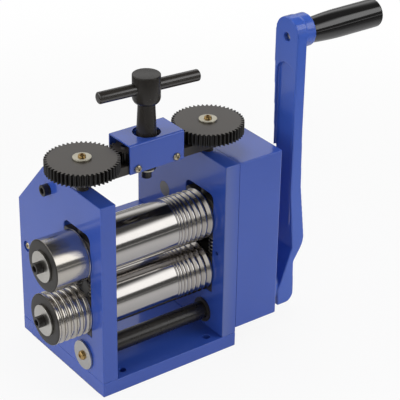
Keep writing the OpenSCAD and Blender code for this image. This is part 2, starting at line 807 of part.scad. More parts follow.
module shaft_washer() {
    x1 = -outer_x - seat_gap;
    color(zinc) at_shaft() ring_x(shaft_washer_d, shaft_screw_d + 2 * fixed_fit,
        x1 - shaft_washer_t, x1);
}

module shaft_screw() {
    color(brass_zinc) at_shaft() translate([-outer_x - seat_gap - shaft_washer_t, 0, 0])
        rotate([0, -90, 0]) button_screw(shaft_screw_d, shaft_washer_t + 12);
}

// Side view of the crank arm as [x, z, corner radius] from the cover's face and the shaft
function arm_side() =
    let (inner = arm_in_x - cover_x, outer = arm_out_x - cover_x, hub = hub_out_x - cover_x,
        top = crank_l + arm_w / 2 + arm_top_rise)
    [[hub - hub_w, -hub_drop, 2], [hub + 0.6, -hub_drop, 10],
        [hub - 1.2, crank_l * 0.104, 6], [outer + 8.2, crank_l * 0.18, 22],
        [outer + 1.6, crank_l * 0.417, 60], [outer, crank_l * 0.65, 100],
        [outer, top, 2], [inner, top, 1], [inner, crank_l * 0.4, 80],
        [inner + 4.6, crank_l / 6, 6], [hub - hub_w, 1, 12]];

// Front view of the arm as [y, z, corner radius]: straight in front, waisted behind
function arm_front() =
    let (w = arm_w / 2, top = crank_l + w + arm_top_rise)
    [[-w, -hub_drop, 2], [w, -hub_drop, 2], [w, 20, 30], [w - arm_waist, crank_l * 0.55, 60],
        [w, crank_l * 0.9, 60], [w, top, w * 0.98], [-w, top, w * 0.98]];

module crank_arm() {
    recess_top = crank_l - 23.5;
    color(paint_blue) at_shaft() difference() {
        union() {
            intersection() {
                translate([cover_x, arm_w, 0]) rotate([90, 0, 0])
                    linear_extrude(height = 2 * arm_w) polygon(round_outline(arm_side()));
                slab_x(cover_x, cover_x + 60) polygon(round_outline(arm_front()));
            }
            rod_x(arm_w - 2, hub_in_x, hub_out_x - 4);
            translate([0, 0, crank_l + arm_top_rise - 0.2])
                rod_x(arm_w - 0.5, arm_out_x - 2, boss_x);
        }
        rod_x(shaft_d + 2 * fixed_fit, hub_in_x - cut, hub_out_x + cut);
        rod_x(shaft_d + 7, hub_out_x, hub_out_x + 3);
        translate([0, 0, crank_l]) {
            rod_x(grip_bolt_d + 2 * fixed_fit, arm_in_x - cut, boss_x + cut);
            rod_x(grip_bolt_d + 1.6, arm_in_x - cut, arm_in_x + bolt_sink);
        }
        slab_x(arm_in_x - 4, arm_in_x + recess_deep) polygon(round_outline([
            [-recess_w / 2, 56, recess_w * 0.45], [recess_w / 2, 56, recess_w * 0.45],
            [recess_w / 2, recess_top, recess_w * 0.49],
            [-recess_w / 2, recess_top, recess_w * 0.49]]));
    }
}

module crank_washer() {
    color(zinc) at_shaft() ring_x(shaft_d + 6, shaft_screw_d + 2 * fixed_fit,
        hub_out_x, hub_out_x + 2);
}

module crank_screw() {
    color(black_oxide) at_shaft() translate([hub_out_x + 2, 0, 0]) rotate([0, 90, 0])
        cap_screw(shaft_screw_d, 14);
}

// Shoulder bolt through the grip, ending inside the arm
module grip_bolt() {
    color(ground_steel) at_shaft() translate([0, 0, crank_l]) {
        rod_x(grip_bolt_d, arm_in_x + bolt_sink - 2.5, grip_end_x - bolt_head_h - 3);
        rod_x(bolt_head_d, grip_end_x - bolt_head_h - 3, grip_end_x - 3);
    }
}

module crank_grip() {
    x0 = boss_x + seat_gap;
    bore = grip_bolt_d / 2 + run_fit;
    seat_x = grip_end_x - bolt_head_h - 3 - seat_gap;
    seat_r = bolt_head_d / 2 + 0.4;
    swell = grip_d / 2 - grip_root_d / 2;
    nose_r = 2.2;
    side = [for (k = [0 : 8]) let (t = k / 8)
        [grip_root_d / 2 + swell * sin(90 * t), x0 + grip_l * 0.48 * t]];
    nose = [for (k = [0 : 6]) let (a = 15 * k)
        [grip_d / 2 - nose_r * (1 - cos(a)), grip_end_x - nose_r + nose_r * sin(a)]];
    color(black_oxide) at_shaft() translate([0, 0, crank_l]) turned_x(concat(
        [[bore, x0]], side, nose, [[seat_r, grip_end_x], [seat_r, seat_x], [bore, seat_x]]));
}

// Top adjustment

module cross_bar() {
    color(black_oxide) at_top() difference() {
        union() {
            translate([-adjust_x, -bar_w / 2, bar_z]) cube([2 * adjust_x, bar_w, bar_t]);
            for (s = [-1, 1]) translate([s * adjust_x, 0, bar_z])
                cylinder(r = bar_end_r, h = bar_t);
        }
        for (s = [-1, 1]) {
            translate([s * adjust_x, 0, bar_z - cut])
                cylinder(d = screw_d + 2 * run_fit, h = bar_t + 2 * cut);
            translate([s * idler_distance, 0, bar_z - cut])
                cylinder(d = idler_pin_d + 2 * fixed_fit, h = bar_t + 2 * cut);
            for (x = [-1, 1]) translate([x * channel_screw_x, s * bar_w / 2, channel_screw_z])
                rotate([90, 0, 0]) translate([0, 0, -6])
                cylinder(d = channel_screw_d + 2 * fixed_fit, h = 12);
        }
        translate([0, 0, bar_z - cut])
            cylinder(d = handle_bush_d + 2 * fixed_fit, h = bar_t + 2 * cut);
    }
}

// Folded channel seen from its end: outside and inside outlines as [y, z, radius]
function channel_outline(inset) =
    let (w = channel_w / 2 - inset, top = channel_top - inset, r = channel_bend_r - inset)
    [[-w, bar_z - (inset > 0 ? cut : 0), 0], [w, bar_z - (inset > 0 ? cut : 0), 0],
        [w, top, max(r, 0.3)], [-w, top, max(r, 0.3)]];

module channel_cover() {
    color(paint_blue) at_top() difference() {
        slab_x(-channel_l / 2, channel_l / 2) polygon(round_outline(channel_outline(0)));
        slab_x(-channel_l / 2 - cut, channel_l / 2 + cut)
            polygon(round_outline(channel_outline(channel_t)));
        translate([0, 0, channel_top - channel_t - cut])
            cylinder(d = channel_hole_d, h = channel_t + 2 * cut);
        for (x = [-1, 1]) translate([x * channel_screw_x, -channel_w, channel_screw_z])
            rotate([-90, 0, 0]) cylinder(d = channel_screw_d + 2 * fixed_fit, h = 2 * channel_w);
    }
}

module channel_screws() {
    color(brass_zinc) at_top() for (x = [-1, 1], s = [-1, 1])
        translate([x * channel_screw_x, s * channel_w / 2, channel_screw_z])
        rotate([s * -90, 0, 0]) button_screw(channel_screw_d, channel_t + 5);
}

module handle_bush() {
    color(bronze) at_top() translate([0, 0, handle_bush_end]) difference() {
        cylinder(d = handle_bush_d, h = bar_top - handle_bush_end);
        translate([0, 0, -cut]) cylinder(d = handle_journal_d + 2 * run_fit,
            h = bar_top - handle_bush_end + 2 * cut);
    }
}

module idler_pins() {
    color(ground_steel) at_top() for (s = [-1, 1]) translate([s * idler_distance, 0, bar_z + 1])
        cylinder(d = idler_pin_d, h = gear_z + idler_t - bar_z - 0.4);
}

module idler_gear(s) {
    color(black_oxide) at_top() translate([s * idler_distance, 0, gear_z - 0.3]) difference() {
        rotate(180 / idler_teeth)
            linear_extrude(height = idler_t) polygon(gear_outline(idler_teeth, top_module));
        translate([0, 0, -cut]) cylinder(d = idler_pin_d + 2 * run_fit, h = idler_t + 2 * cut);
    }
}

module left_idler_gear() { idler_gear(-1); }
module right_idler_gear() { idler_gear(1); }

module adjusting_gear(s) {
    color(black_oxide) at_top() translate([s * adjust_x, 0, gear_z]) difference() {
        rotate(s > 0 ? 180 : 0)
            linear_extrude(height = adjust_gear_t) polygon(gear_outline(adjust_teeth, top_module));
        translate([0, 0, -cut])
            cylinder(d = gear_bore_d + 2 * fixed_fit, h = adjust_gear_t + 2 * cut);
    }
}

module left_adjusting_gear() { adjusting_gear(-1); }
module right_adjusting_gear() { adjusting_gear(1); }

// Adjusting screw: nose in the bearing block, thread in the side plate, flange under the bar
module adjusting_screw(s) {
    r = screw_d / 2;
    end = gear_top - seat_gap;
    color(black_oxide) at_top() translate([s * adjust_x, 0, 0]) difference() {
        rotate_extrude() polygon([[0, screw_end_z], [r - 1, screw_end_z], [r, screw_end_z + 1],
            [r, bar_z - screw_flange_t], [screw_flange_d / 2, bar_z - screw_flange_t],
            [screw_flange_d / 2, bar_z], [r, bar_z], [r, end], [0, end]]);
        translate([0, 0, end - 14])
            cylinder(d = gear_screw_d + 2 * fixed_fit, h = 14 + cut);
    }
}

module left_adjusting_screw() { adjusting_screw(-1); }
module right_adjusting_screw() { adjusting_screw(1); }

module gear_washer(s) {
    color(zinc) at_top() translate([s * adjust_x, 0, gear_top]) difference() {
        cylinder(d = gear_washer_d, h = gear_washer_t);
        translate([0, 0, -cut])
            cylinder(d = gear_screw_d + 2 * fixed_fit, h = gear_washer_t + 2 * cut);
    }
}

module left_gear_washer() { gear_washer(-1); }
module right_gear_washer() { gear_washer(1); }

module gear_screw(s) {
    color(brass_zinc) at_top() translate([s * adjust_x, 0, gear_top + gear_washer_t])
        button_screw(gear_screw_d, gear_washer_t + 10);
}

module left_gear_screw() { gear_screw(-1); }
module right_gear_screw() { gear_screw(1); }

// Handle: hub, flared neck, flange under the channel's hole and journal in the bush
module t_handle() {
    r = hub_d / 2;
    neck = neck_d / 2;
    c = hub_chamfer;
    journal = handle_journal_d / 2;
    color(black_oxide) at_top() difference() {
        rotate_extrude() polygon([[0, handle_end], [journal, handle_end],
            [journal, flange_z], [flange_d / 2, flange_z], [flange_d / 2, flange_top - 1],
            [neck_flare_d / 2 + 1.2, flange_top], [neck_flare_d / 2, flange_top + 2],
            [neck, hub_bottom - 1], [neck, hub_bottom], [r - c, hub_bottom],
            [r - c * 0.45, hub_bottom + c * 0.3], [r - c * 0.12, hub_bottom + c * 0.75],
            [r, hub_bottom + c * 1.3], [r, hub_z - 0.6], [r - 0.6, hub_z], [0, hub_z]]);
        translate([0, 0, t_bar_z]) rotate(t_bar_turn)
            rod_x(t_bar_d + 2 * fixed_fit, -hub_d, hub_d);
        translate([0, 0, handle_end - cut])
            cylinder(d = handle_screw_d + 2 * fixed_fit, h = 16 + cut);
    }
}

module t_bar() {
    l = t_bar_l / 2;
    r = t_bar_d / 2;
    color(black_oxide) at_top() translate([0, 0, t_bar_z]) rotate(t_bar_turn)
        translate([t_bar_shift, 0, 0])
        turned_x([[0, -l], [r - 1.4, -l], [r, -l + 1], [r, l - 1], [r - 1.4, l], [0, l]]);
}

module handle_pinion() {
    color(black_oxide) at_top() translate([0, 0, gear_z - 0.3]) difference() {
        linear_extrude(height = idler_t) polygon(gear_outline(idler_teeth, top_module));
        translate([0, 0, -cut])
            cylinder(d = handle_journal_d + 2 * fixed_fit, h = idler_t + 2 * cut);
    }
}

module handle_washer() {
    color(zinc) at_top() translate([0, 0, handle_end - handle_washer_t]) difference() {
        cylinder(d = handle_washer_d, h = handle_washer_t);
        translate([0, 0, -cut])
            cylinder(d = handle_screw_d + 2 * fixed_fit, h = handle_washer_t + 2 * cut);
    }
}

module handle_screw() {
    color(black_oxide) at_top() translate([0, 0, handle_end - handle_washer_t])
        rotate([180, 0, 0]) cap_screw(handle_screw_d, 14, handle_head_taller);
}

base_plate();
left_side_plate();
right_side_plate();
rear_tie_bar();
tie_bar_screws();
frame_screws();
left_plate_screw();
gearbox_cover();
cover_stays();
cover_screws();
lower_bearing_blocks();
lower_bushes();
shaft_bushes();
lift_springs();
upper_bearing_blocks();
upper_bushes();
cross_bar();
channel_cover();
channel_screws();
handle_bush();
idler_pins();
upper_roll();
upper_extension_roller();
upper_thrust_ring();
upper_extension_washer();
upper_extension_screw();
upper_roll_gear();
upper_roll_clip();
lower_roll();
lower_extension_roller();
lower_thrust_ring();
lower_extension_washer();
lower_extension_screw();
lower_roll_gear();
drive_gear();
lower_roll_clip();
drive_shaft();
drive_pinion();
shaft_washer();
shaft_screw();
crank_arm();
crank_washer();
crank_screw();
grip_bolt();
crank_grip();
t_handle();
t_bar();
handle_pinion();
handle_washer();
handle_screw();
left_idler_gear();
right_idler_gear();
left_adjusting_gear();
left_adjusting_screw();
left_gear_washer();
left_gear_screw();
right_adjusting_gear();
right_adjusting_screw();
right_gear_washer();
right_gear_screw();
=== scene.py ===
import math
import bmesh
import bpy
from mathutils import Matrix, Vector


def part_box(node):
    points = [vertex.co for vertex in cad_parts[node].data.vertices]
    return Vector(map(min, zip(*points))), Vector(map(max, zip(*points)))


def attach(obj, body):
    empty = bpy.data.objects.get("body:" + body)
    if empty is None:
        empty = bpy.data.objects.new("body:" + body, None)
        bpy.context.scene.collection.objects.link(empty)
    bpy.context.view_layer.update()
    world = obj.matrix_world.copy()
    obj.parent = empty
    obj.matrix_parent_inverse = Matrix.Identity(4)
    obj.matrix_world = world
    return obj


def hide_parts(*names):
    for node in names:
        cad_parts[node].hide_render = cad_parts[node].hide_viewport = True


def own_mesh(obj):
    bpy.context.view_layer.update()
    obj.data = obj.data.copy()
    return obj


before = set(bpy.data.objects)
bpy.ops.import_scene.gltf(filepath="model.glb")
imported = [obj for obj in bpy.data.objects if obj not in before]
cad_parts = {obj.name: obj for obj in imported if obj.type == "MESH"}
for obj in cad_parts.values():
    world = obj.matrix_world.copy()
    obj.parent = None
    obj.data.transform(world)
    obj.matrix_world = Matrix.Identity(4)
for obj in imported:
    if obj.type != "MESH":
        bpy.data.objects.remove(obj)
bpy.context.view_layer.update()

# Camera: a long lens in front of the left-hand end of the rolls, looking down at the mill, as
# the photograph was taken.
AZIMUTH, ELEVATION, TILT = math.radians(-36.59), math.radians(28.70), math.radians(0.95)
AIM = Vector((0.03125, -0.015, 0.090))
STAND_OFF, SLIDE, RAISE = 1.3448, 0.02762, 0.03930
FILM_WIDTH, FOCAL_LENGTH = 36.0, 140.18


def add(name, data):
    """Puts data in the scene as an object of that name."""
    thing = bpy.data.objects.new(name, data)
    bpy.context.collection.objects.link(thing)
    return thing


level = Vector((math.cos(AZIMUTH), math.sin(AZIMUTH), 0))
back = Vector((math.sin(AZIMUTH) * math.cos(ELEVATION), -math.cos(AZIMUTH) * math.cos(ELEVATION),
               math.sin(ELEVATION)))
upright = back.cross(level)
side = math.cos(TILT) * level + math.sin(TILT) * upright
rise = math.cos(TILT) * upright - math.sin(TILT) * level
stand = AIM + SLIDE * side + RAISE * rise + STAND_OFF * back
lens = bpy.data.cameras.new("camera")
lens.sensor_width, lens.lens = FILM_WIDTH, FOCAL_LENGTH
camera = add("camera", lens)
camera.matrix_world = Matrix.Translation(stand) @ Matrix((side, rise, back)).transposed().to_4x4()
bpy.context.scene.camera = camera
bpy.context.scene.view_settings.view_transform = "Standard"


# Bench top: a plain pale sheet under the mill. It shows as clean white to the eye and in what
# the metal reflects, and still takes the mill's light and shade as paper does. Away from the mill
# its colour is painted dark, a painted shade for the unlit studio beyond, which the metal reflects.
class Wire:
    """A socket that takes part in sums: each sum adds its Math node to the same tree."""

    def __init__(self, tree, socket):
        self.tree, self.socket = tree, socket

    def sum_with(self, kind, first, second=None):
        node = self.tree.nodes.new("ShaderNodeMath")
        node.operation = kind
        for slot, value in zip(node.inputs, (first, second)):
            if isinstance(value, Wire):
                self.tree.links.new(value.socket, slot)
            elif value is not None:
                slot.default_value = value
        return Wire(self.tree, node.outputs[0])

    def __add__(self, other): return self.sum_with("ADD", self, other)
    def __radd__(self, other): return self.sum_with("ADD", other, self)
    def __sub__(self, other): return self.sum_with("SUBTRACT", self, other)
    def __rsub__(self, other): return self.sum_with("SUBTRACT", other, self)
    def __mul__(self, other): return self.sum_with("MULTIPLY", self, other)
    def __rmul__(self, other): return self.sum_with("MULTIPLY", other, self)
    def __truediv__(self, other): return self.sum_with("DIVIDE", self, other)
    def above(self, limit): return self.sum_with("GREATER_THAN", self, limit)
    def most(self, other): return self.sum_with("MAXIMUM", self, other)
    def root(self): return self.sum_with("SQRT", self)


class Finish:
    """One material or world: put() adds a node, and surface() sets the shader's sockets."""

    def __init__(self, name, owner=None):
        self.owner = owner or bpy.data.materials.new(name)
        self.owner.use_nodes = True
        self.tree = self.owner.node_tree
        self.tree.nodes.clear()

    def put(self, kind, settings, values, output=0):
        node = self.tree.nodes.new(kind)
        for key, value in settings.items():
            setattr(node, key, value)
        for key, value in values.items():
            slot = node.inputs[key]
            if isinstance(value, Wire):
                self.tree.links.new(value.socket, slot)
            else:
                slot.default_value = value
        return Wire(self.tree, node.outputs[output]) if node.outputs else None

    def place(self, centre=(0, 0, 0), stretch=(1, 1, 1)):
        here = self.put("ShaderNodeTexCoord", {}, {}, "Object")
        move = tuple(-c * s for c, s in zip(centre, stretch))
        return self.put("ShaderNodeMapping", {}, {"Vector": here, "Location": move, "Scale": stretch})

    def part(self, where, way):
        """The X, Y or Z of a place."""
        return self.put("ShaderNodeSeparateXYZ", {}, {"Vector": where}, way)

    def fade(self, value, low, high):
        """0 below low, 1 above high, and a smooth step between them."""
        return self.put("ShaderNodeMapRange", {"interpolation_type": "SMOOTHSTEP"}, {
            "Value": value, "From Min": low, "From Max": high, "To Min": 0.0, "To Max": 1.0})

    def noise(self, where, scale, detail=2.0, rough=0.5):
        return self.put("ShaderNodeTexNoise", {}, {
            "Vector": where, "Scale": scale, "Detail": detail, "Roughness": rough})

    def tint(self, share, first, second):
        return self.put("ShaderNodeMix", {"data_type": "RGBA"}, {0: share, 6: first, 7: second}, 2)

    def relief(self, height, depth=1.0):
        return self.put("ShaderNodeBump", {}, {"Height": height, "Distance": depth, "Strength": 1.0})

    def surface(self, **values):
        named = {key.replace("_", " "): value for key, value in values.items()}
        shader = self.put("ShaderNodeBsdfPrincipled", {}, named)
        self.put("ShaderNodeOutputMaterial", {}, {"Surface": shader})
        return self.owner


def lit_white(finish, own, kind, share=1.0, mirrored=None):
    """White to the camera in that share, and to glossy and clear surfaces in the mirrored share; its
    own shader to all else."""
    seen = finish.put("ShaderNodeLightPath", {}, {}, "Is Camera Ray") * share
    if mirrored is not None:
        for ray in ("Is Glossy Ray", "Is Transmission Ray"):
            seen = seen.most(finish.put("ShaderNodeLightPath", {}, {}, ray) * mirrored)
    white = finish.put("ShaderNodeEmission", {}, {"Color": (1, 1, 1, 1), "Strength": 1.0})
    mixed = finish.put("ShaderNodeMixShader", {}, {0: seen, 1: own, 2: white})
    finish.put(kind, {}, {"Surface": mixed})


BENCH_HALF, NEAR, FAR = 3.0, 0.22, 0.85
# The far colour is painted shade: the sheet darkens away from the mill as if the light fell off there.
NEAR_PAPER, FAR_PAINTED_SHADE = (0.66, 0.66, 0.67, 1), (0.10, 0.10, 0.10, 1)
bench_mesh = bpy.data.meshes.new("bench")
bench_mesh.from_pydata([(x * BENCH_HALF, y * BENCH_HALF, 0)
                        for x, y in ((-1, -1), (1, -1), (1, 1), (-1, 1))], [], [(0, 1, 2, 3)])
bench = add("bench", bench_mesh)
paper = Finish("bench_paper")
spread = paper.put("ShaderNodeVectorMath", {"operation": "LENGTH"}, {"Vector": paper.place()}, "Value")
away_off = paper.fade(spread, NEAR, FAR)
sheet = paper.put("ShaderNodeBsdfDiffuse", {}, {"Color": paper.tint(away_off, NEAR_PAPER, FAR_PAINTED_SHADE)})
lit_white(paper, sheet, "ShaderNodeOutputMaterial", 0.90 + 0.10 * away_off, 0.30 - 0.28 * away_off)
bench_mesh.materials.append(paper.owner)

# Light: the studio round the mill, as its polished parts show it. A white backdrop stands behind up
# to about 45 degrees, soft boxes stand in front on the right and on the left, and it is dark above.
DARK, BACKDROP, RIGHT_PANEL, LEFT_PANEL, BELOW = 0.09, 0.95, 1.80, 1.00, 0.80
studio = bpy.data.worlds.new("studio")
bpy.context.scene.world = studio
sky = Finish("studio", studio)
around = sky.put("ShaderNodeTexCoord", {}, {}, "Generated")
to_right, to_rear, to_top = (sky.part(around, way) for way in "XYZ")
backdrop = sky.fade(to_rear, -0.05, 0.30) * (0.30 + 0.70 * sky.fade(to_top, 0.28, 0.42)) * \
    (1.0 - sky.fade(to_top, 0.52, 0.76))
right_panel = sky.fade(to_right, 0.15, 0.30) * sky.fade(-1.0 * to_rear, 0.30, 0.42) * \
    sky.fade(to_top, 0.262, 0.30) * (1.0 - sky.fade(to_top, 0.62, 0.81))
left_panel = sky.fade(-1.0 * to_right, 0.50, 0.62) * sky.fade(to_top, 0.06, 0.20) * \
    (1.0 - sky.fade(to_top, 0.60, 0.75))
below = sky.fade(-1.0 * to_top, -0.02, 0.04)
glow = DARK + backdrop * BACKDROP + right_panel * RIGHT_PANEL + left_panel * LEFT_PANEL + below * BELOW
lit_white(sky, sky.put("ShaderNodeBackground", {}, {"Color": (1, 1, 1, 1), "Strength": glow}),
          "ShaderNodeOutputWorld")
LAMP_AIM = Vector((0, 0, 0.12))


def soft_box(name, direction, distance, size, power):
    """A square lamp at that distance in that direction from the mill's middle, facing it."""
    lamp = bpy.data.lights.new(name, "AREA")
    lamp.shape, lamp.size, lamp.energy = "SQUARE", size, power
    box = add(name, lamp)
    away = Vector(direction).normalized()
    box.matrix_world = Matrix.Translation(LAMP_AIM + away * distance) @ \
        away.to_track_quat("Z", "Y").to_matrix().to_4x4()
    box.visible_glossy = False


soft_box("soft_box_front", (0.85, -1.0, 0.40), 1.0, 0.8, 3.5)
soft_box("soft_box_right", (0.70, -0.55, 0.60), 1.6, 0.9, 4.5)
soft_box("soft_box_left", (-1.0, -0.20, 0.16), 0.8, 0.4, 2.2)
soft_box("soft_box_top", (0.1, 0.30, 1.0), 1.6, 0.9, 9.0)

# Blue plates: the base, the two side plates and the rear tie bar are cut from steel plate, eased
# at the edges and sprayed with glossy blue enamel, which dries with a fine orange peel.
# The third blue is paler: a painted reflection for the right side plate's front face.
BLUE, DEEP_BLUE, PAINTED_SHEEN_BLUE = (0.036, 0.088, 0.420, 1), (0.030, 0.076, 0.375, 1), (0.085, 0.125, 0.36, 1)
SHEEN_REACH, FRONT_SKIN = 0.015, 0.0005
SAME_SPOT, SAME_FACE = 2e-6, math.radians(0.4)
RIM_REACH, RIM_WIDTH, PLATE_CORNER = 0.025, 0.0002, 0.0009


def blue_enamel(name, peel_depth=0.000010, cast_depth=0.0, gloss=0.17, sheen_corner=None,
                pair=(BLUE, DEEP_BLUE)):
    """Glossy enamel with orange peel. With a corner given as (x, y), a paler blue is painted on the
    front face from that corner, fading out to the right: a painted reflection."""
    enamel = Finish(name)
    here = enamel.place()
    drift = enamel.noise(here, 18.0, 3.0)
    peel = enamel.noise(here, 900.0)
    pits = enamel.noise(here, 260.0, 4.0, 0.6)
    wipe = enamel.noise(here, 60.0, 4.0, 0.65)
    tone = enamel.tint(drift, *pair)
    if sheen_corner is not None:
        # Painted reflection: a paler blue on the front face, fading out to the right of the corner.
        front = (enamel.part(here, "Y") * -1.0).above(-sheen_corner[1])
        sheen_share = front * (1.0 - (enamel.part(here, "X") - sheen_corner[0]) / SHEEN_REACH)
        tone = enamel.tint(sheen_share, tone, PAINTED_SHEEN_BLUE)
    return enamel.surface(
        Base_Color=tone, Roughness=gloss - 0.05 + wipe * 0.12, Coat_Weight=0.35, Coat_Roughness=0.06,
        Normal=enamel.relief(peel * peel_depth + pits * cast_depth))


def finish_piece(node, how, mesh, material, body):
    """Puts a finished mesh in the scene as one piece of that body, in place of that CAD node."""
    piece = add(node + "_" + how, mesh)
    mesh.materials.clear()
    mesh.materials.append(material)
    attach(piece, body)
    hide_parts(node)
    return piece


def made(carrier):
    """The plain mesh that a carrier's modifiers make; the carrier goes."""
    ready = bpy.data.meshes.new_from_object(
        carrier.evaluated_get(bpy.context.evaluated_depsgraph_get()))
    carrier.modifiers.clear()
    bpy.data.objects.remove(carrier)
    return ready


def weighted(mesh):
    """The mesh with smooth rounded edges and flat faces that stay flat."""
    mesh.shade_smooth()
    mesh.set_sharp_from_angle(angle=math.radians(40))
    carrier = add("carrier", mesh)
    carrier.modifiers.new("normals", "WEIGHTED_NORMAL").keep_sharp = True
    return made(carrier)


def merged(node):
    """A bmesh of a CAD node with its loose triangles joined into whole faces."""
    form = bmesh.new()
    form.from_mesh(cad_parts[node].data)
    bmesh.ops.remove_doubles(form, verts=form.verts, dist=SAME_SPOT)
    bmesh.ops.dissolve_limit(form, angle_limit=SAME_FACE, verts=form.verts, edges=form.edges)
    return form


def meshed(form):
    """The mesh of a bmesh, which is then let go."""
    mesh = bpy.data.meshes.new("form")
    form.to_mesh(mesh)
    form.free()
    return mesh


def ease_corners(form, width, rounds=2, least=math.radians(35), keep=None):
    """Rounds the form's corners, or those that keep() picks, to about that width, one run of corners at
    a time. A short run is a hole's rim and is only just broken."""
    corners = dict.fromkeys(e for e in form.edges if len(e.link_faces) == 2
                            and e.calc_face_angle(0) > least and (keep is None or keep(e)))
    while corners:
        run = [corners.popitem()[0]]
        for edge in run:
            for near in (n for vert in edge.verts for n in vert.link_edges if n in corners):
                del corners[near]
                run.append(near)
        spots = [vert.co for edge in run for vert in edge.verts]
        reach = max(max(spot[i] for spot in spots) - min(spot[i] for spot in spots) for i in range(3))
        bmesh.ops.bevel(form, geom=run, offset=width if reach > RIM_REACH else min(width, RIM_WIDTH),
                        offset_type="OFFSET", segments=rounds, profile=0.5, affect="EDGES",
                        clamp_overlap=True)


def eased(node, width, rounds=2, least=math.radians(35)):
    """A copy of a CAD node's mesh with its corners eased by that width."""
    form = merged(node)
    ease_corners(form, width, rounds, least)
    return weighted(meshed(form))


plate_enamel = blue_enamel("plate_enamel")
right_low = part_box("right_side_plate")[0]
# The right side plate's front face carries that painted reflection.
right_enamel = blue_enamel("right_plate_enamel", sheen_corner=(right_low.x, right_low.y + FRONT_SKIN))
for node, enamel in (("base_plate", plate_enamel), ("left_side_plate", plate_enamel),
                     ("right_side_plate", right_enamel), ("rear_tie_bar", plate_enamel)):
    finish_piece(node, "enamelled", eased(node, PLATE_CORNER, 3), enamel, "frame")

# Gearbox cover: a box pressed and welded from thinner steel, with rounded outer corners, open
# towards the right side plate and underneath, and sprayed like the plates.
cover_low, cover_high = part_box("gearbox_cover")
OPEN_RIM, OUTER_SKIN, OUTER_MARGIN, HOLES_TOP = 0.001, 0.003, 0.002, 0.132
COVER_CORNER, COVER_RIM = 0.0013, 0.0003


def outside(edge):
    """The cover's outer corners, and not its rims, its shaft notch or its screw holes."""
    middle = (edge.verts[0].co + edge.verts[1].co) / 2
    in_holes = middle.x > cover_high.x - OUTER_SKIN and middle.z < HOLES_TOP and \
        cover_low.y + OUTER_MARGIN < middle.y < cover_high.y - OUTER_MARGIN
    on_rim = middle.x <= cover_low.x + OPEN_RIM or middle.z <= cover_low.z + OPEN_RIM
    return edge.calc_face_angle_signed(0) > 0 and not on_rim and not in_holes


cover_form = merged("gearbox_cover")
ease_corners(cover_form, COVER_CORNER, 4, math.radians(20), outside)
ease_corners(cover_form, COVER_RIM, 1, math.radians(60))
finish_piece("gearbox_cover", "enamelled", weighted(meshed(cover_form)), plate_enamel, "frame")

# Crank arm: a casting, thick at the hub, cranked outwards, with a long recess in its inner face
# and a boss under the grip. Its skin is coarser than the plates', and its enamel is painted a little
# lighter, a painted highlight for the light the arm catches.
# These blues are lighter than the plates': a painted highlight on the arm.
CAST_HIGHLIGHT_BLUES = (0.044, 0.112, 0.500, 1), (0.037, 0.098, 0.450, 1)
SKIN_GRAIN, SKIN_SMOOTHING = 0.0007, 3
cast_highlight_enamel = blue_enamel("cast_highlight_enamel", 0.000012, 0.00004, 0.20, pair=CAST_HIGHLIGHT_BLUES)
skinned = add("carrier", meshed(merged("crank_arm")))
skin = skinned.modifiers.new("skin", "REMESH")
skin.mode, skin.voxel_size, skin.use_smooth_shade = "VOXEL", SKIN_GRAIN, True
soften = skinned.modifiers.new("soften", "SMOOTH")
soften.factor, soften.iterations = 0.5, SKIN_SMOOTHING
crank_mesh = made(skinned)
crank_mesh.shade_smooth()
finish_piece("crank_arm", "cast", crank_mesh, cast_highlight_enamel, "crank")

# Channel cover: a strip of sheet folded into a channel over the pinion and idler gears, with thin
# square edges, and sprayed like the plates.
finish_piece("channel_cover", "enamelled", eased("channel_cover", 0.00025, 2, math.radians(50)),
             plate_enamel, "carriage")

# Rolls: hardened steel, ground and polished on the barrel. The right end has eight vee grooves for
# wire, each wider than the last, and each roll's left stub carries an extension roller.
# The second colour here is painted shade for the rolls' vee grooves.
DARK_END, GROOVE_SHADE_STEEL = (0.060, 0.057, 0.053, 1), (0.40, 0.375, 0.35, 1)


def bright_metal(name, colour, darker, smooth, rough, axis=None, lay=0.0000012, dark_ends=None,
                 groove_shade=None, bare=1.0):
    """Bare metal: tool marks across the axis, a drift of grease and handling, an end left dark to the
    left of dark_ends, and, with a groove axis and radius given as (y, z, radius), painted shade in the
    grooves: darker and a little duller nearer than that radius to the axis."""
    metal = Finish(name)
    here = metal.place()
    smear = metal.noise(here, 40.0, 4.0, 0.6)
    stretch = {"X": (1, 0.02, 0.02), None: (1, 1, 1)}[axis]
    marks = metal.noise(metal.place((0, 0, 0), stretch), 1900.0, 3.0, 0.6)
    tone = metal.tint(smear, colour, darker)
    dull = smooth + (rough - smooth) * smear
    if dark_ends is not None:
        end = (metal.part(here, "X") * -1.0).above(-dark_ends)
        tone = metal.tint(end, tone, DARK_END)
        dull = dull + end * 0.22
    if groove_shade is not None:
        y, z, radius = groove_shade
        spot = metal.place((0, y, z))
        over, up = (metal.part(spot, way) for way in "YZ")
        # Painted shade: the steel is darker inside the grooves.
        groove_shade_share = ((over * over + up * up).root() * -1.0).above(-radius)
        tone = metal.tint(groove_shade_share, tone, GROOVE_SHADE_STEEL)
        dull = dull + groove_shade_share * 0.06
    return metal.surface(Base_Color=tone, Metallic=bare, Roughness=dull,
                         Normal=metal.relief(marks * lay))


KNURLS, KNURL_DEPTH = 12, 0.04


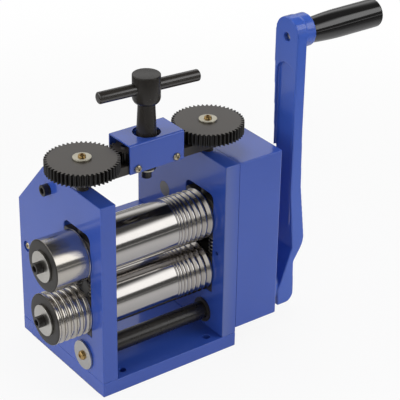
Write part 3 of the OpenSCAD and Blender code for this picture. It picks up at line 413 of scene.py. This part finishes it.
def turned(outline, foot, axis=(1, 0, 0), corner=0.0003, sides=72):
    """A mesh turned about the axis through foot, from steps of (place along it, radius, form).
    Form 1 is a six-sided socket and form -1 a knurl. Corners are rounded to that width."""
    line = [Vector(step if len(step) == 3 else (*step, 0.0)) for step in outline]
    bored = line[0].y > 0
    rounded = []
    for i, here in enumerate(line):
        to, fro = line[i - 1] - here, line[(i + 1) % len(line)] - here
        flat_to, flat_fro = Vector(to[:2]), Vector(fro[:2])
        if (not bored and i in (0, len(line) - 1)) or (-flat_to).angle(flat_fro, 0) < math.radians(15):
            rounded.append(here)
            continue
        cut = min(corner, 0.4 * flat_to.length, 0.4 * flat_fro.length)
        start, end = here + to * (cut / flat_to.length), here + fro * (cut / flat_fro.length)
        rounded += [start * (1 - s) ** 2 + here * 2 * s * (1 - s) + end * s * s
                    for s in (0, 1 / 3, 2 / 3, 1)]
    aim = Vector(axis).normalized().to_track_quat("X", "Z").to_matrix()
    foot = Vector(foot)
    points, rings, faces = [], [], []
    for step in rounded:
        if step.y < 1e-7:
            rings.append([len(points)] * sides)
            points.append(foot + aim @ Vector((step.x, 0, 0)))
            continue
        rings.append(list(range(len(points), len(points) + sides)))
        for k in range(sides):
            turn = 2 * math.pi * k / sides
            flat = 1 / math.cos(turn % (math.pi / 3) - math.pi / 6)
            ridge = 1 - KNURL_DEPTH * (0.5 + 0.5 * math.cos(KNURLS * turn))
            reach = step.y * (1 + max(step.z, 0) * (flat - 1)) * (1 + max(-step.z, 0) * (ridge - 1))
            points.append(foot + aim @ Vector((step.x, reach * math.cos(turn), reach * math.sin(turn))))
    for near, far in zip(rings, rings[1:] + (rings[:1] if bored else [])):
        for k in range(sides):
            corners = (near[k], near[(k + 1) % sides], far[(k + 1) % sides], far[k])
            faces.append(tuple(dict.fromkeys(corners)))
    mesh = bpy.data.meshes.new("turned")
    mesh.from_pydata(points, [], [face for face in faces if len(face) > 2])
    form = bmesh.new()
    form.from_mesh(mesh)
    bmesh.ops.recalc_face_normals(form, faces=form.faces)
    form.to_mesh(mesh)
    form.free()
    mesh.shade_smooth()
    mesh.set_sharp_from_angle(angle=math.radians(42))
    return mesh


ROLL_R, JOURNAL_R, STUB_R, BARREL_HALF, ROLL_EDGE = 0.0225, 0.0125, 0.0100, 0.05375, 0.0006
VEES, NARROWEST, WIDENING, LAND, PLAIN_END = 8, 0.0013, 0.00055, 0.0012, 0.002
STEEL, STAINED, GROUND_LAY, VEE_SKIN = (0.52, 0.50, 0.485, 1), (0.47, 0.45, 0.43, 1), 0.000012, 0.00025
upper_low, upper_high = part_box("upper_roll")
lower_low, lower_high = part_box("lower_roll")
ROLL_Y = (upper_low.y + upper_high.y) / 2
UPPER_Z = (upper_low.z + upper_high.z) / 2
LOWER_Z = lower_low.z + ROLL_R
THRUST_X, GEAR_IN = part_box("upper_thrust_ring")[1].x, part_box("upper_roll_gear")[0].x


def roll_outline(left_end, right_end):
    """Half the roll's section, from its left stub over the grooved barrel to its gear end."""
    grooves, place = [], BARREL_HALF - PLAIN_END
    for i in reversed(range(VEES)):
        half = (NARROWEST + WIDENING * i) / 2
        grooves += [(place, ROLL_R), (place - half, ROLL_R - half), (place - 2 * half, ROLL_R)]
        place -= 2 * half + LAND
    return [(left_end, 0), (left_end, STUB_R - ROLL_EDGE), (left_end + ROLL_EDGE, STUB_R),
            (THRUST_X, STUB_R), (THRUST_X, JOURNAL_R), (-BARREL_HALF, JOURNAL_R),
            (-BARREL_HALF, ROLL_R - ROLL_EDGE), (-BARREL_HALF + ROLL_EDGE, ROLL_R)] + grooves[::-1] + [
            (BARREL_HALF - ROLL_EDGE, ROLL_R), (BARREL_HALF, ROLL_R - ROLL_EDGE),
            (BARREL_HALF, JOURNAL_R), (GEAR_IN, JOURNAL_R), (GEAR_IN, STUB_R),
            (right_end - ROLL_EDGE, STUB_R), (right_end, STUB_R - ROLL_EDGE), (right_end, 0)]


for row, low, high, height in (("upper", upper_low, upper_high, UPPER_Z),
                               ("lower", lower_low, lower_high, LOWER_Z)):
    # The vee grooves carry painted shade.
    roll_steel = bright_metal(row + "_roll_steel", STEEL, STAINED, 0.10, 0.17, "X", GROUND_LAY,
                              groove_shade=(ROLL_Y, height, ROLL_R - VEE_SKIN))
    finish_piece(row + "_roll", "ground", turned(roll_outline(low.x, high.x), (0, ROLL_Y, height),
                 sides=120), roll_steel, row + "_roll")

# Extension rollers: the upper one plain, with fine rings from grinding, and the lower one with five
# round grooves for half-round wire. They slide on the rolls' stubs against a bright thrust ring, and
# their end faces are coloured dark.
EXT_IN, EXT_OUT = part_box("upper_extension_roller")[1].x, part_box("upper_extension_roller")[0].x
EXT_CHAMFER, EXT_DARK, RINGS, RING_STEPS, RING_DEPTH = 0.0008, 0.0007, 84, 8, 0.00001
GROOVES, GROOVE_R, FIRST_GROOVE, GROOVE_PITCH, GROOVE_STEPS = 5, 0.0022, 0.0033, 0.0058, 10
ext_steel = bright_metal("ext_steel", (0.56, 0.53, 0.48, 1), (0.50, 0.47, 0.43, 1), 0.10, 0.16, "X",
                         GROUND_LAY, EXT_OUT + EXT_DARK, bare=0.9)
ring_steel = bright_metal("ring_steel", (0.62, 0.60, 0.57, 1), (0.55, 0.53, 0.50, 1), 0.16, 0.26, "X")
RINGS_FROM = EXT_IN - EXT_CHAMFER - 0.0001
RINGS_LONG = EXT_IN - EXT_OUT - 2 * EXT_CHAMFER - 0.0002
ground_rings = [(RINGS_FROM - RINGS_LONG * k / (RING_STEPS * RINGS),
                 ROLL_R - RING_DEPTH * (1 - math.cos(2 * math.pi * k / RING_STEPS)) / 2)
                for k in range(RING_STEPS * RINGS + 1)]
half_rounds = [(EXT_IN - FIRST_GROOVE - GROOVE_PITCH * i
                + GROOVE_R * math.cos(math.pi * k / GROOVE_STEPS),
                ROLL_R - GROOVE_R * math.sin(math.pi * k / GROOVE_STEPS))
               for i in range(GROOVES) for k in range(GROOVE_STEPS + 1)]
for row, height, surface in (("upper", UPPER_Z, ground_rings), ("lower", LOWER_Z, half_rounds)):
    middle = (0, ROLL_Y, height)
    finish_piece(row + "_extension_roller", "ground", turned([
        (EXT_IN, STUB_R), (EXT_IN, ROLL_R - EXT_CHAMFER), (EXT_IN - EXT_CHAMFER, ROLL_R)] + surface + [
        (EXT_OUT + EXT_CHAMFER, ROLL_R), (EXT_OUT, ROLL_R - EXT_CHAMFER), (EXT_OUT, STUB_R)],
        middle, corner=0.00025, sides=96), ext_steel, row + "_roll")
    ring_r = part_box(row + "_thrust_ring")[1].y - ROLL_Y
    finish_piece(row + "_thrust_ring", "ground", turned([
        (EXT_IN, STUB_R), (EXT_IN, ring_r), (THRUST_X, ring_r), (THRUST_X, STUB_R)], middle, sides=120),
        ring_steel, row + "_roll")


# Roll gears: both rolls carry a gear with deep teeth, so that they can move apart, and the lower one
# a larger drive gear for the pinion. All are hobbed from bright steel.
def repaint(material, *nodes):
    """Gives CAD nodes whose shape is right a better material."""
    for node in nodes:
        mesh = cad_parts[node].data
        mesh.materials.clear()
        mesh.materials.append(material)


gear_steel = bright_metal("gear_steel", (0.50, 0.48, 0.45, 1), (0.34, 0.32, 0.29, 1), 0.26, 0.42,
                          lay=0.000004)
repaint(gear_steel, "upper_roll_gear", "lower_roll_gear", "drive_gear", "drive_pinion")

# Blackened steel: the bearing blocks, clips, drive shaft, cross bar, top gears and handle are machined
# and blacked in hot oxide, which leaves a dark brown-grey skin that shines softly at low angles.
# The last colour is painted shade for the sides below a gear's top face.
CUT_RINGS, CUT_DEPTH, SIDE_SHADE_BLACK = 2200.0, 0.000008, (0.009, 0.008, 0.007, 1)


def black_oxide(name, tone=0.024, gloss=0.34, sheen=1.48, centre=None, shade_below=None):
    """A blacked skin. With a centre it shows fine turning rings about it, and with a height given it
    is painted blacker below that height than on the face above, a painted shade on the sides."""
    oxide = Finish(name)
    here = oxide.place()
    blotch = oxide.noise(here, 45.0, 4.0, 0.6)
    marks = oxide.noise(here, 1400.0) * 0.000005
    if centre:
        spot = oxide.place(centre)
        across, along = (oxide.part(spot, way) for way in "XY")
        marks = marks + CUT_DEPTH * oxide.put("ShaderNodeTexNoise", {"noise_dimensions": "1D"}, {
            "W": (across * across + along * along).root(), "Scale": CUT_RINGS, "Detail": 2.0})
    skin = oxide.tint(blotch, (tone, tone * 0.88, tone * 0.76, 1),
                      (tone * 1.7, tone * 1.50, tone * 1.32, 1))
    if shade_below is not None:
        # Painted shade: everything below the top face is darker.
        skin = oxide.tint(oxide.part(here, "Z").above(shade_below), SIDE_SHADE_BLACK, skin)
    return oxide.surface(Base_Color=skin, Roughness=gloss - 0.06 + blotch * 0.14, IOR=sheen,
                         Normal=oxide.relief(marks))


BLOCK_CORNER = 0.0004
plain_oxide = black_oxide("plain_oxide")
repaint(plain_oxide, "upper_roll_clip", "lower_roll_clip")
for row, body in (("lower", "frame"), ("upper", "carriage")):
    node = row + "_bearing_blocks"
    finish_piece(node, "blacked", eased(node, BLOCK_CORNER), plain_oxide, body)

# Bushes: the rolls' are sintered bronze, pressed in, dark with oil where it isn't rubbed. Those of the
# shaft and the handle are blacked steel.
bronze = bright_metal("bronze", (0.47, 0.31, 0.15, 1), (0.30, 0.19, 0.09, 1), 0.32, 0.48, lay=0.000005)
repaint(bronze, "lower_bushes", "upper_bushes")
repaint(plain_oxide, "handle_bush", "shaft_bushes")


# Lift springs: four coils of round wire stand in pockets between the lower and upper bearing blocks
# and hold the upper roll up.
class Pattern:
    """A Geometry Nodes tree with named inputs, which sets one shape on each place it is given."""

    def __init__(self, name, **inputs):
        self.tree = bpy.data.node_groups.new(name, "GeometryNodeTree")
        sockets = {"Places": "Geometry", **inputs, "Metal": "Material"}
        for key, kind in sockets.items():
            self.tree.interface.new_socket(key, in_out="INPUT", socket_type="NodeSocket" + kind)
        self.tree.interface.new_socket("Made", in_out="OUTPUT", socket_type="NodeSocketGeometry")
        self.given = self.tree.nodes.new("NodeGroupInput").outputs

    def put(self, kind, settings, values, output=0):
        node = self.tree.nodes.new(kind)
        for key, value in settings.items():
            setattr(node, key, value)
        for key, value in values.items():
            if isinstance(value, bpy.types.NodeSocket):
                self.tree.links.new(value, node.inputs[key])
            else:
                node.inputs[key].default_value = value
        return node.outputs[output] if node.outputs else None

    def on_places(self, shape, rotation=(0, 0, 0)):
        """Ends the tree: the shape on every place, made real and given its material."""
        placed = self.put("GeometryNodeInstanceOnPoints", {}, {
            "Points": self.given["Places"], "Instance": shape, "Rotation": rotation})
        real = self.put("GeometryNodeRealizeInstances", {}, {"Geometry": placed})
        done = self.put("GeometryNodeSetMaterial", {}, {
            "Geometry": real, "Material": self.given["Metal"]})
        self.put("NodeGroupOutput", {}, {"Made": done})

    def make(self, places, facing, **values):
        """The plain mesh of the shape on those places, each along its own facing."""
        spots = bpy.data.meshes.new("places")
        spots.from_pydata([Vector(place) for place in places], [], [])
        ways = spots.attributes.new("facing", "FLOAT_VECTOR", "POINT")
        for way, direction in zip(ways.data, facing):
            way.vector = direction
        carrier = add("carrier", spots)
        maker = carrier.modifiers.new("made", "NODES")
        maker.node_group = self.tree
        sockets = {item.name: item.identifier for item in self.tree.interface.items_tree
                   if item.in_out == "INPUT"}
        for key, value in values.items():
            maker[sockets[key]] = value
        return made(carrier)


coil = Pattern("coil_springs", Turns="Float", Coil="Float", Wire="Float", Rise="Float")
helix = coil.put("GeometryNodeCurveSpiral", {}, {
    "Resolution": 36, "Rotations": coil.given["Turns"], "Start Radius": coil.given["Coil"],
    "End Radius": coil.given["Coil"], "Height": coil.given["Rise"]})
section = coil.put("GeometryNodeCurvePrimitiveCircle", {}, {
    "Resolution": 14, "Radius": coil.given["Wire"]})
wound = coil.put("GeometryNodeCurveToMesh", {}, {
    "Curve": helix, "Profile Curve": section, "Fill Caps": True})
coil.on_places(coil.put("GeometryNodeSetShadeSmooth", {}, {"Geometry": wound}))
PLATE_MID, SPRING_OFF, SPRING_FOOT, SPRING_RISE = 0.0615, 0.012, 0.08485, 0.0217
COIL_R, WIRE_R, COIL_TURNS = 0.0035, 0.0007, 6.0
spring_steel = bright_metal("spring_steel", (0.50, 0.49, 0.47, 1), (0.36, 0.34, 0.31, 1), 0.22, 0.34)
spring_places = [(s * PLATE_MID, ROLL_Y + t * SPRING_OFF, SPRING_FOOT)
                 for s in (-1, 1) for t in (-1, 1)]
springs = finish_piece("lift_springs", "wound", coil.make(
    spring_places, [(0, 0, 1)] * 4, Turns=COIL_TURNS, Coil=COIL_R, Wire=WIRE_R, Rise=SPRING_RISE,
    Metal=spring_steel), spring_steel, "frame")
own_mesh(springs)

# Socket screws: black cap screws with knurled heads hold the extension rollers, the crank and the
# frame from below, and low button heads in bright and yellow plate hold the sheet parts.
screws = Pattern("socket_screws", Screw="Object")
turned_to = screws.put("FunctionNodeAlignRotationToVector", {"axis": "Z"}, {
    "Vector": screws.put("GeometryNodeInputNamedAttribute", {"data_type": "FLOAT_VECTOR"},
                         {"Name": "facing"})})
pattern_screw = screws.put("GeometryNodeObjectInfo", {}, {"Object": screws.given["Screw"]}, "Geometry")
screws.on_places(pattern_screw, turned_to)


def cap_screw(d, shank, taller=0.0):
    """A cap screw's section from the end of its shank, with its head's underside at zero."""
    head, flats, c, top = (1.5 * d + 0.001) / 2, 0.433 * d, 0.05 * d, d + taller
    return [(-shank, 0), (-shank, d / 2), (0, d / 2), (0, head - c), (c, head), (0.14 * d, head),
            (0.18 * d, head, -1), (top - 0.22 * d, head, -1), (top - 0.18 * d, head), (top - c, head),
            (top, head - 1.6 * c), (top, flats * 1.2), (top - c, flats, 1), (top - 0.55 * d, flats, 1),
            (top - 0.62 * d, 0, 1)]


def button_screw(d, shank):
    """The same for a low domed head."""
    head, rise, flats = (1.6 * d + 0.0002) / 2, 0.55 * d, 0.294 * d
    return [(-shank, 0), (-shank, d / 2), (0, d / 2), (0, head), (rise * 0.35, head),
            (rise * 0.62, head * 0.93), (rise * 0.84, head * 0.76), (rise * 0.96, head * 0.58),
            (rise, flats * 1.25), (rise * 0.94, flats, 1), (rise * 0.42, flats, 1), (rise * 0.36, 0, 1)]


def fasten(node, outline, places, facing, metal, body):
    """Sets one screw of that section at each place, its head facing that way, for a CAD node."""
    one = add("screw", turned(outline, (0, 0, 0), (0, 0, 1), 0.0002, 48))
    mesh = screws.make(places, facing, Screw=one, Metal=metal)
    bpy.data.objects.remove(one)
    finish_piece(node, "turned", mesh, metal, body)


def middle_of(node):
    """The middle of a CAD node's box."""
    low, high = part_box(node)
    return (low + high) / 2


cap_oxide = black_oxide("cap_oxide", 0.012, 0.30)
pale_plate = bright_metal("pale_plate", (0.66, 0.60, 0.46, 1), (0.50, 0.42, 0.26, 1), 0.20, 0.34)
yellow_plate = bright_metal("yellow_plate", (0.58, 0.40, 0.17, 1), (0.40, 0.25, 0.09, 1), 0.24, 0.38)
PLATE_OUT, TIE_SINK, FRAME_SEAT, FRAME_ROWS = 0.06875, 0.0024, 0.008, (-0.056, 0.050)
for row, height in (("upper", UPPER_Z), ("lower", LOWER_Z)):
    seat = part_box(row + "_extension_washer")[0].x
    fasten(row + "_extension_screw", cap_screw(0.006, 0.018), [(seat, ROLL_Y, height)], [(-1, 0, 0)],
           cap_oxide, row + "_roll")
post = middle_of("left_plate_screw")
fasten("left_plate_screw", cap_screw(0.006, 0.0115), [(-PLATE_OUT, post.y, post.z)], [(-1, 0, 0)],
       cap_oxide, "frame")
fasten("frame_screws", cap_screw(0.008, 0.012), [(s * PLATE_MID, y, FRAME_SEAT) for s in (-1, 1)
       for y in FRAME_ROWS], [(0, 0, -1)] * 4, cap_oxide, "frame")
tie = middle_of("tie_bar_screws")
tie_seat = PLATE_OUT - TIE_SINK
fasten("tie_bar_screws", button_screw(0.004, 0.016), [(s * tie_seat, tie.y, tie.z) for s in (-1, 1)],
       [(s, 0, 0) for s in (-1, 1)], pale_plate, "frame")

# Cover stays: two dark round bars from the right side plate to the cover's outer face, each with a
# yellow button screw through the cover.
stays_low, stays_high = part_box("cover_stays")
stay_r = (stays_high.y - stays_low.y) / 2
stay_spots = [(cover_high.x, stays_low.y + stay_r, z)
              for z in (stays_low.z + stay_r, stays_high.z - stay_r)]
fasten("cover_screws", button_screw(0.005, 0.0140), stay_spots, [(1, 0, 0)] * 2, yellow_plate, "frame")
stay_steel = bright_metal("stay_steel", (0.20, 0.195, 0.185, 1), (0.14, 0.135, 0.13, 1), 0.32, 0.44,
                          "X")
repaint(stay_steel, "cover_stays")

# Washers: turned discs with bright zinc plate, one under each screw that holds something turning.
# Those of the top gears and the handle have yellowed to cream.
zinc = bright_metal("zinc", (0.66, 0.645, 0.60, 1), (0.52, 0.50, 0.45, 1), 0.24, 0.38, lay=0.000003)
cream_zinc = bright_metal("cream_zinc", (0.72, 0.69, 0.58, 1), (0.60, 0.56, 0.44, 1), 0.26, 0.40)


def washer(node, bore, along, metal, body):
    """A washer turned to its CAD node's box, about the X or the Z axis."""
    low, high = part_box(node)
    half = (high - low) / 2
    thick, reach = (half.x, half.y) if along == "X" else (half.z, half.x)
    finish_piece(node, "plated", turned(
        [(-thick, bore), (-thick, reach), (thick, reach), (thick, bore)], (low + high) / 2,
        (1, 0, 0) if along == "X" else (0, 0, 1), sides=96), metal, body)


for node, bore, along, metal, body in (
        ("upper_extension_washer", 0.00301, "X", zinc, "upper_roll"),
        ("lower_extension_washer", 0.00301, "X", zinc, "lower_roll"),
        ("shaft_washer", 0.00251, "X", zinc, "crank"),
        ("crank_washer", 0.00251, "X", zinc, "crank"),
        ("handle_washer", 0.00251, "Z", cream_zinc, "handle"),
        ("left_gear_washer", 0.00201, "Z", cream_zinc, "left_screw"),
        ("right_gear_washer", 0.00201, "Z", cream_zinc, "right_screw")):
    washer(node, bore, along, metal, body)

# Drive shaft: a blacked bar through both plates, with the pinion inside the cover, the crank arm on
# its right end, and a large plated washer and a yellow button screw on its left end.
SHAFT_Y, SHAFT_Z, SHAFT_R = -0.0363, 0.027997, 0.008
shaft_low, shaft_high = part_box("drive_shaft")
finish_piece("drive_shaft", "turned", turned([
    (shaft_low.x, 0), (shaft_low.x, SHAFT_R), (shaft_high.x, SHAFT_R), (shaft_high.x, 0)],
    (0, SHAFT_Y, SHAFT_Z), corner=0.0004, sides=96), black_oxide("shaft_oxide", 0.014, 0.26), "crank")
fasten("shaft_screw", button_screw(0.005, 0.014), [(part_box("shaft_washer")[0].x, SHAFT_Y, SHAFT_Z)],
       [(-1, 0, 0)], yellow_plate, "crank")
fasten("crank_screw", cap_screw(0.005, 0.014), [(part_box("crank_washer")[1].x, SHAFT_Y, SHAFT_Z)],
       [(1, 0, 0)], cap_oxide, "crank")

# Grip: a turned handle of glossy black phenolic, slimmer at its root and blunt at its end. It turns
# on a bright shoulder bolt, whose head lies in a recess in that end.
ROOT_R, GRIP_R, NOSE_R, SEAT_R, BORE_R, SEAT_DEPTH = 0.0103, 0.0124, 0.0022, 0.0054, 0.00305, 0.0073
SWELL_SHARE, SWELL_STEPS = 0.48, 12
PHENOLIC, RUBBED = (0.004, 0.004, 0.004, 1), (0.007, 0.0065, 0.0065, 1)
grip_low, grip_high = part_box("crank_grip")
grip_z = (grip_low.z + grip_high.z) / 2
seat_x = grip_high.x - SEAT_DEPTH
flank = [(grip_low.x + (grip_high.x - grip_low.x) * SWELL_SHARE * k / SWELL_STEPS,
          ROOT_R + (GRIP_R - ROOT_R) * math.sin(math.pi / 2 * k / SWELL_STEPS))
         for k in range(SWELL_STEPS + 1)]
nose = [(grip_high.x - NOSE_R + NOSE_R * math.sin(math.radians(10 * k)),
         GRIP_R - NOSE_R * (1 - math.cos(math.radians(10 * k)))) for k in range(10)]
grip = turned([(grip_low.x, BORE_R)] + flank + nose + [
    (grip_high.x, SEAT_R), (seat_x, SEAT_R), (seat_x, BORE_R)], (0, SHAFT_Y, grip_z), corner=0.0005,
    sides=96)
phenolic = Finish("black_phenolic")
handled = phenolic.noise(phenolic.place(), 70.0, 3.0)
swirl = phenolic.noise(phenolic.place((0, 0, 0), (1, 0.1, 0.1)), 500.0)
finish_piece("crank_grip", "moulded", grip, phenolic.surface(
    Base_Color=phenolic.tint(handled, PHENOLIC, RUBBED), Roughness=0.07 + 0.08 * handled, IOR=1.75,
    Normal=phenolic.relief(swirl, 0.000002)), "grip")
BOLT_R, BOLT_HEAD_R, BOLT_HEAD, BOLT_FLATS = 0.003, 0.005, 0.004, 0.0026
bolt_low, bolt_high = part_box("grip_bolt")
bolt_steel = bright_metal("bolt_steel", (0.56, 0.55, 0.53, 1), (0.42, 0.41, 0.39, 1), 0.20, 0.32, "X")
finish_piece("grip_bolt", "turned", turned([
    (bolt_low.x, 0), (bolt_low.x, BOLT_R), (bolt_high.x - BOLT_HEAD, BOLT_R),
    (bolt_high.x - BOLT_HEAD, BOLT_HEAD_R), (bolt_high.x, BOLT_HEAD_R), (bolt_high.x, 0.0031),
    (bolt_high.x - 0.0003, BOLT_FLATS, 1), (bolt_high.x - 0.0024, BOLT_FLATS, 1),
    (bolt_high.x - 0.0029, 0, 1)], (0, SHAFT_Y, grip_z), sides=48), bolt_steel, "crank")

# Cross bar and top gears: the bar carries both adjusting screws and the pins of the two idlers. The
# handle's pinion turns them, and they turn the two large gears. Their faces show fine turning rings.
TOOTH_CORNER, CROWN_SKIN = 0.00015, 0.0001
finish_piece("cross_bar", "blacked", eased("cross_bar", BLOCK_CORNER), plain_oxide, "carriage")
repaint(bolt_steel, "idler_pins")
for node, body in (("left_adjusting_gear", "left_screw"), ("right_adjusting_gear", "right_screw"),
                   ("left_idler_gear", "left_idler"), ("right_idler_gear", "right_idler"),
                   ("handle_pinion", "handle")):
    hub = middle_of(node)
    # Below its top face each gear is painted blacker: painted shade on its teeth and sides.
    gear_oxide = black_oxide(node + "_oxide", 0.045, 0.32, 1.50, (hub.x, hub.y, 0),
                             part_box(node)[1].z - CROWN_SKIN)
    finish_piece(node, "blacked", eased(node, TOOTH_CORNER, 1), gear_oxide, body)

# Adjusting screws: fine-pitch screws with a collar under the bar. They turn in the bar and push the
# upper bearing blocks down through tapped holes in the side plates' tops.
SCREW_X, SCREW_R, PITCH, THREAD_DEPTH, COLLAR_R, RUN_OUT = 0.0618, 0.005, 0.0015, 0.0008, 0.008, 0.001
COLLAR, THREAD_TOP, ROD_SIDES, PITCH_STEPS = 0.0015, 0.0012, 40, 8


def threaded_rod(foot, low, high):
    """A rod with a single-start thread, which is turned down to the thread's root at its foot."""
    lift = PITCH / PITCH_STEPS
    steps = int((high - low) / lift)
    points, faces = [], []
    for i in range(steps + 1):
        for k in range(ROD_SIDES):
            phase = (i * lift / PITCH - k / ROD_SIDES) % 1.0
            cut = THREAD_DEPTH * min(1.0, max(0.0, 1.15 * (1 - abs(2 * phase - 1)) - 0.08))
            cut = max(cut, THREAD_DEPTH * max(0.0, 1 - i * lift / RUN_OUT))
            turn = 2 * math.pi * k / ROD_SIDES
            reach = SCREW_R - cut
            points.append(foot + Vector((reach * math.cos(turn), reach * math.sin(turn),
                                         low + (high - low) * i / steps)))
    for i in range(steps):
        for k in range(ROD_SIDES):
            a, b = i * ROD_SIDES + k, i * ROD_SIDES + (k + 1) % ROD_SIDES
            faces.append((a, b, b + ROD_SIDES, a + ROD_SIDES))
    faces += [tuple(reversed(range(ROD_SIDES))),
              tuple(range(steps * ROD_SIDES, (steps + 1) * ROD_SIDES))]
    mesh = bpy.data.meshes.new("threaded_rod")
    mesh.from_pydata(points, [], faces)
    mesh.shade_smooth()
    mesh.set_sharp_from_angle(angle=math.radians(50))
    return mesh


screw_oxide = black_oxide("screw_oxide", 0.018, 0.30)
bar_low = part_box("cross_bar")[0].z
for hand, s in (("left", -1), ("right", 1)):
    node = hand + "_adjusting_screw"
    low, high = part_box(node)
    foot = Vector((s * SCREW_X, ROLL_Y, 0))
    form = bmesh.new()
    form.from_mesh(threaded_rod(foot, low.z, bar_low - THREAD_TOP))
    form.from_mesh(turned([
        (bar_low - COLLAR, 0), (bar_low - COLLAR, COLLAR_R), (bar_low, COLLAR_R), (bar_low, SCREW_R),
        (high.z, SCREW_R), (high.z, 0)], foot, (0, 0, 1)))
    finish_piece(node, "threaded", meshed(form), screw_oxide, hand + "_screw")
    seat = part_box(hand + "_gear_washer")[1].z
    fasten(hand + "_gear_screw", button_screw(0.004, 0.0116), [(foot.x, foot.y, seat)], [(0, 0, 1)],
           yellow_plate, hand + "_screw")

# Channel screws: four pale-plated button screws hold the folded cover to the cross bar's edges, two
# in front and two behind.
CHANNEL_SCREW_X = 0.019
channel_low, channel_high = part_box("channel_cover")
channel_screw_z = middle_of("channel_screws").z
fasten("channel_screws", button_screw(0.004, 0.0065),
       [(s * CHANNEL_SCREW_X, y, channel_screw_z)
        for s in (-1, 1) for y in (channel_low.y, channel_high.y)],
       [(0, way, 0) for s in (-1, 1) for way in (-1, 1)], pale_plate, "carriage")

# T handle: a blacked hub on a slim shaft that runs down through the pinion and the cross bar, held
# below by a washer and a cap screw. A polished black bar goes across through the hub.
HUB_R, NECK_R, FLANGE_R, STEM_R, HUB_HEIGHT, FLANGE_TOP = 0.0117, 0.0072, 0.0110, 0.006, 0.0254, 0.2063
hub_low, hub_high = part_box("t_handle")
hub_foot = hub_high.z - HUB_HEIGHT
gear_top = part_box("handle_pinion")[1].z
handle_outline = [
    (hub_low.z, 0), (hub_low.z, STEM_R), (gear_top, STEM_R), (gear_top, FLANGE_R),
    (FLANGE_TOP, FLANGE_R),
    (FLANGE_TOP + 0.001, 0.0098), (FLANGE_TOP + 0.003, 0.0086), (hub_foot - 0.001, NECK_R),
    (hub_foot, NECK_R), (hub_foot, HUB_R - 0.004), (hub_foot + 0.0012, HUB_R - 0.0018),
    (hub_foot + 0.003, HUB_R - 0.0005), (hub_foot + 0.0052, HUB_R), (hub_high.z, HUB_R),
    (hub_high.z, 0)]
hub_oxide = black_oxide("hub_oxide", 0.016, 0.26, 1.42)
finish_piece("t_handle", "turned", turned(handle_outline, (0, ROLL_Y, 0), (0, 0, 1), 0.0008, 96),
             hub_oxide, "handle")
BAR_TURN, BAR_SHIFT, BAR_HALF, BAR_R, BAR_BEVEL = math.radians(-4.9), 0.0023, 0.0464, 0.005, 0.0014
bar_way = Vector((math.cos(BAR_TURN), math.sin(BAR_TURN), 0))
bar_left, bar_right = BAR_SHIFT - BAR_HALF, BAR_SHIFT + BAR_HALF
bar_outline = [(bar_left, 0), (bar_left, BAR_R - BAR_BEVEL), (bar_left + 0.001, BAR_R),
               (bar_right - 0.001, BAR_R), (bar_right, BAR_R - BAR_BEVEL), (bar_right, 0)]
bar_black = black_oxide("bar_black", 0.018, 0.11, 1.70)
finish_piece("t_bar", "polished",
             turned(bar_outline, (0, ROLL_Y, middle_of("t_bar").z), bar_way, 0.0006), bar_black,
             "handle")
fasten("handle_screw", cap_screw(0.005, 0.014, 0.003), [(0, ROLL_Y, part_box("handle_washer")[0].z)],
       [(0, 0, -1)], cap_oxide, "handle")
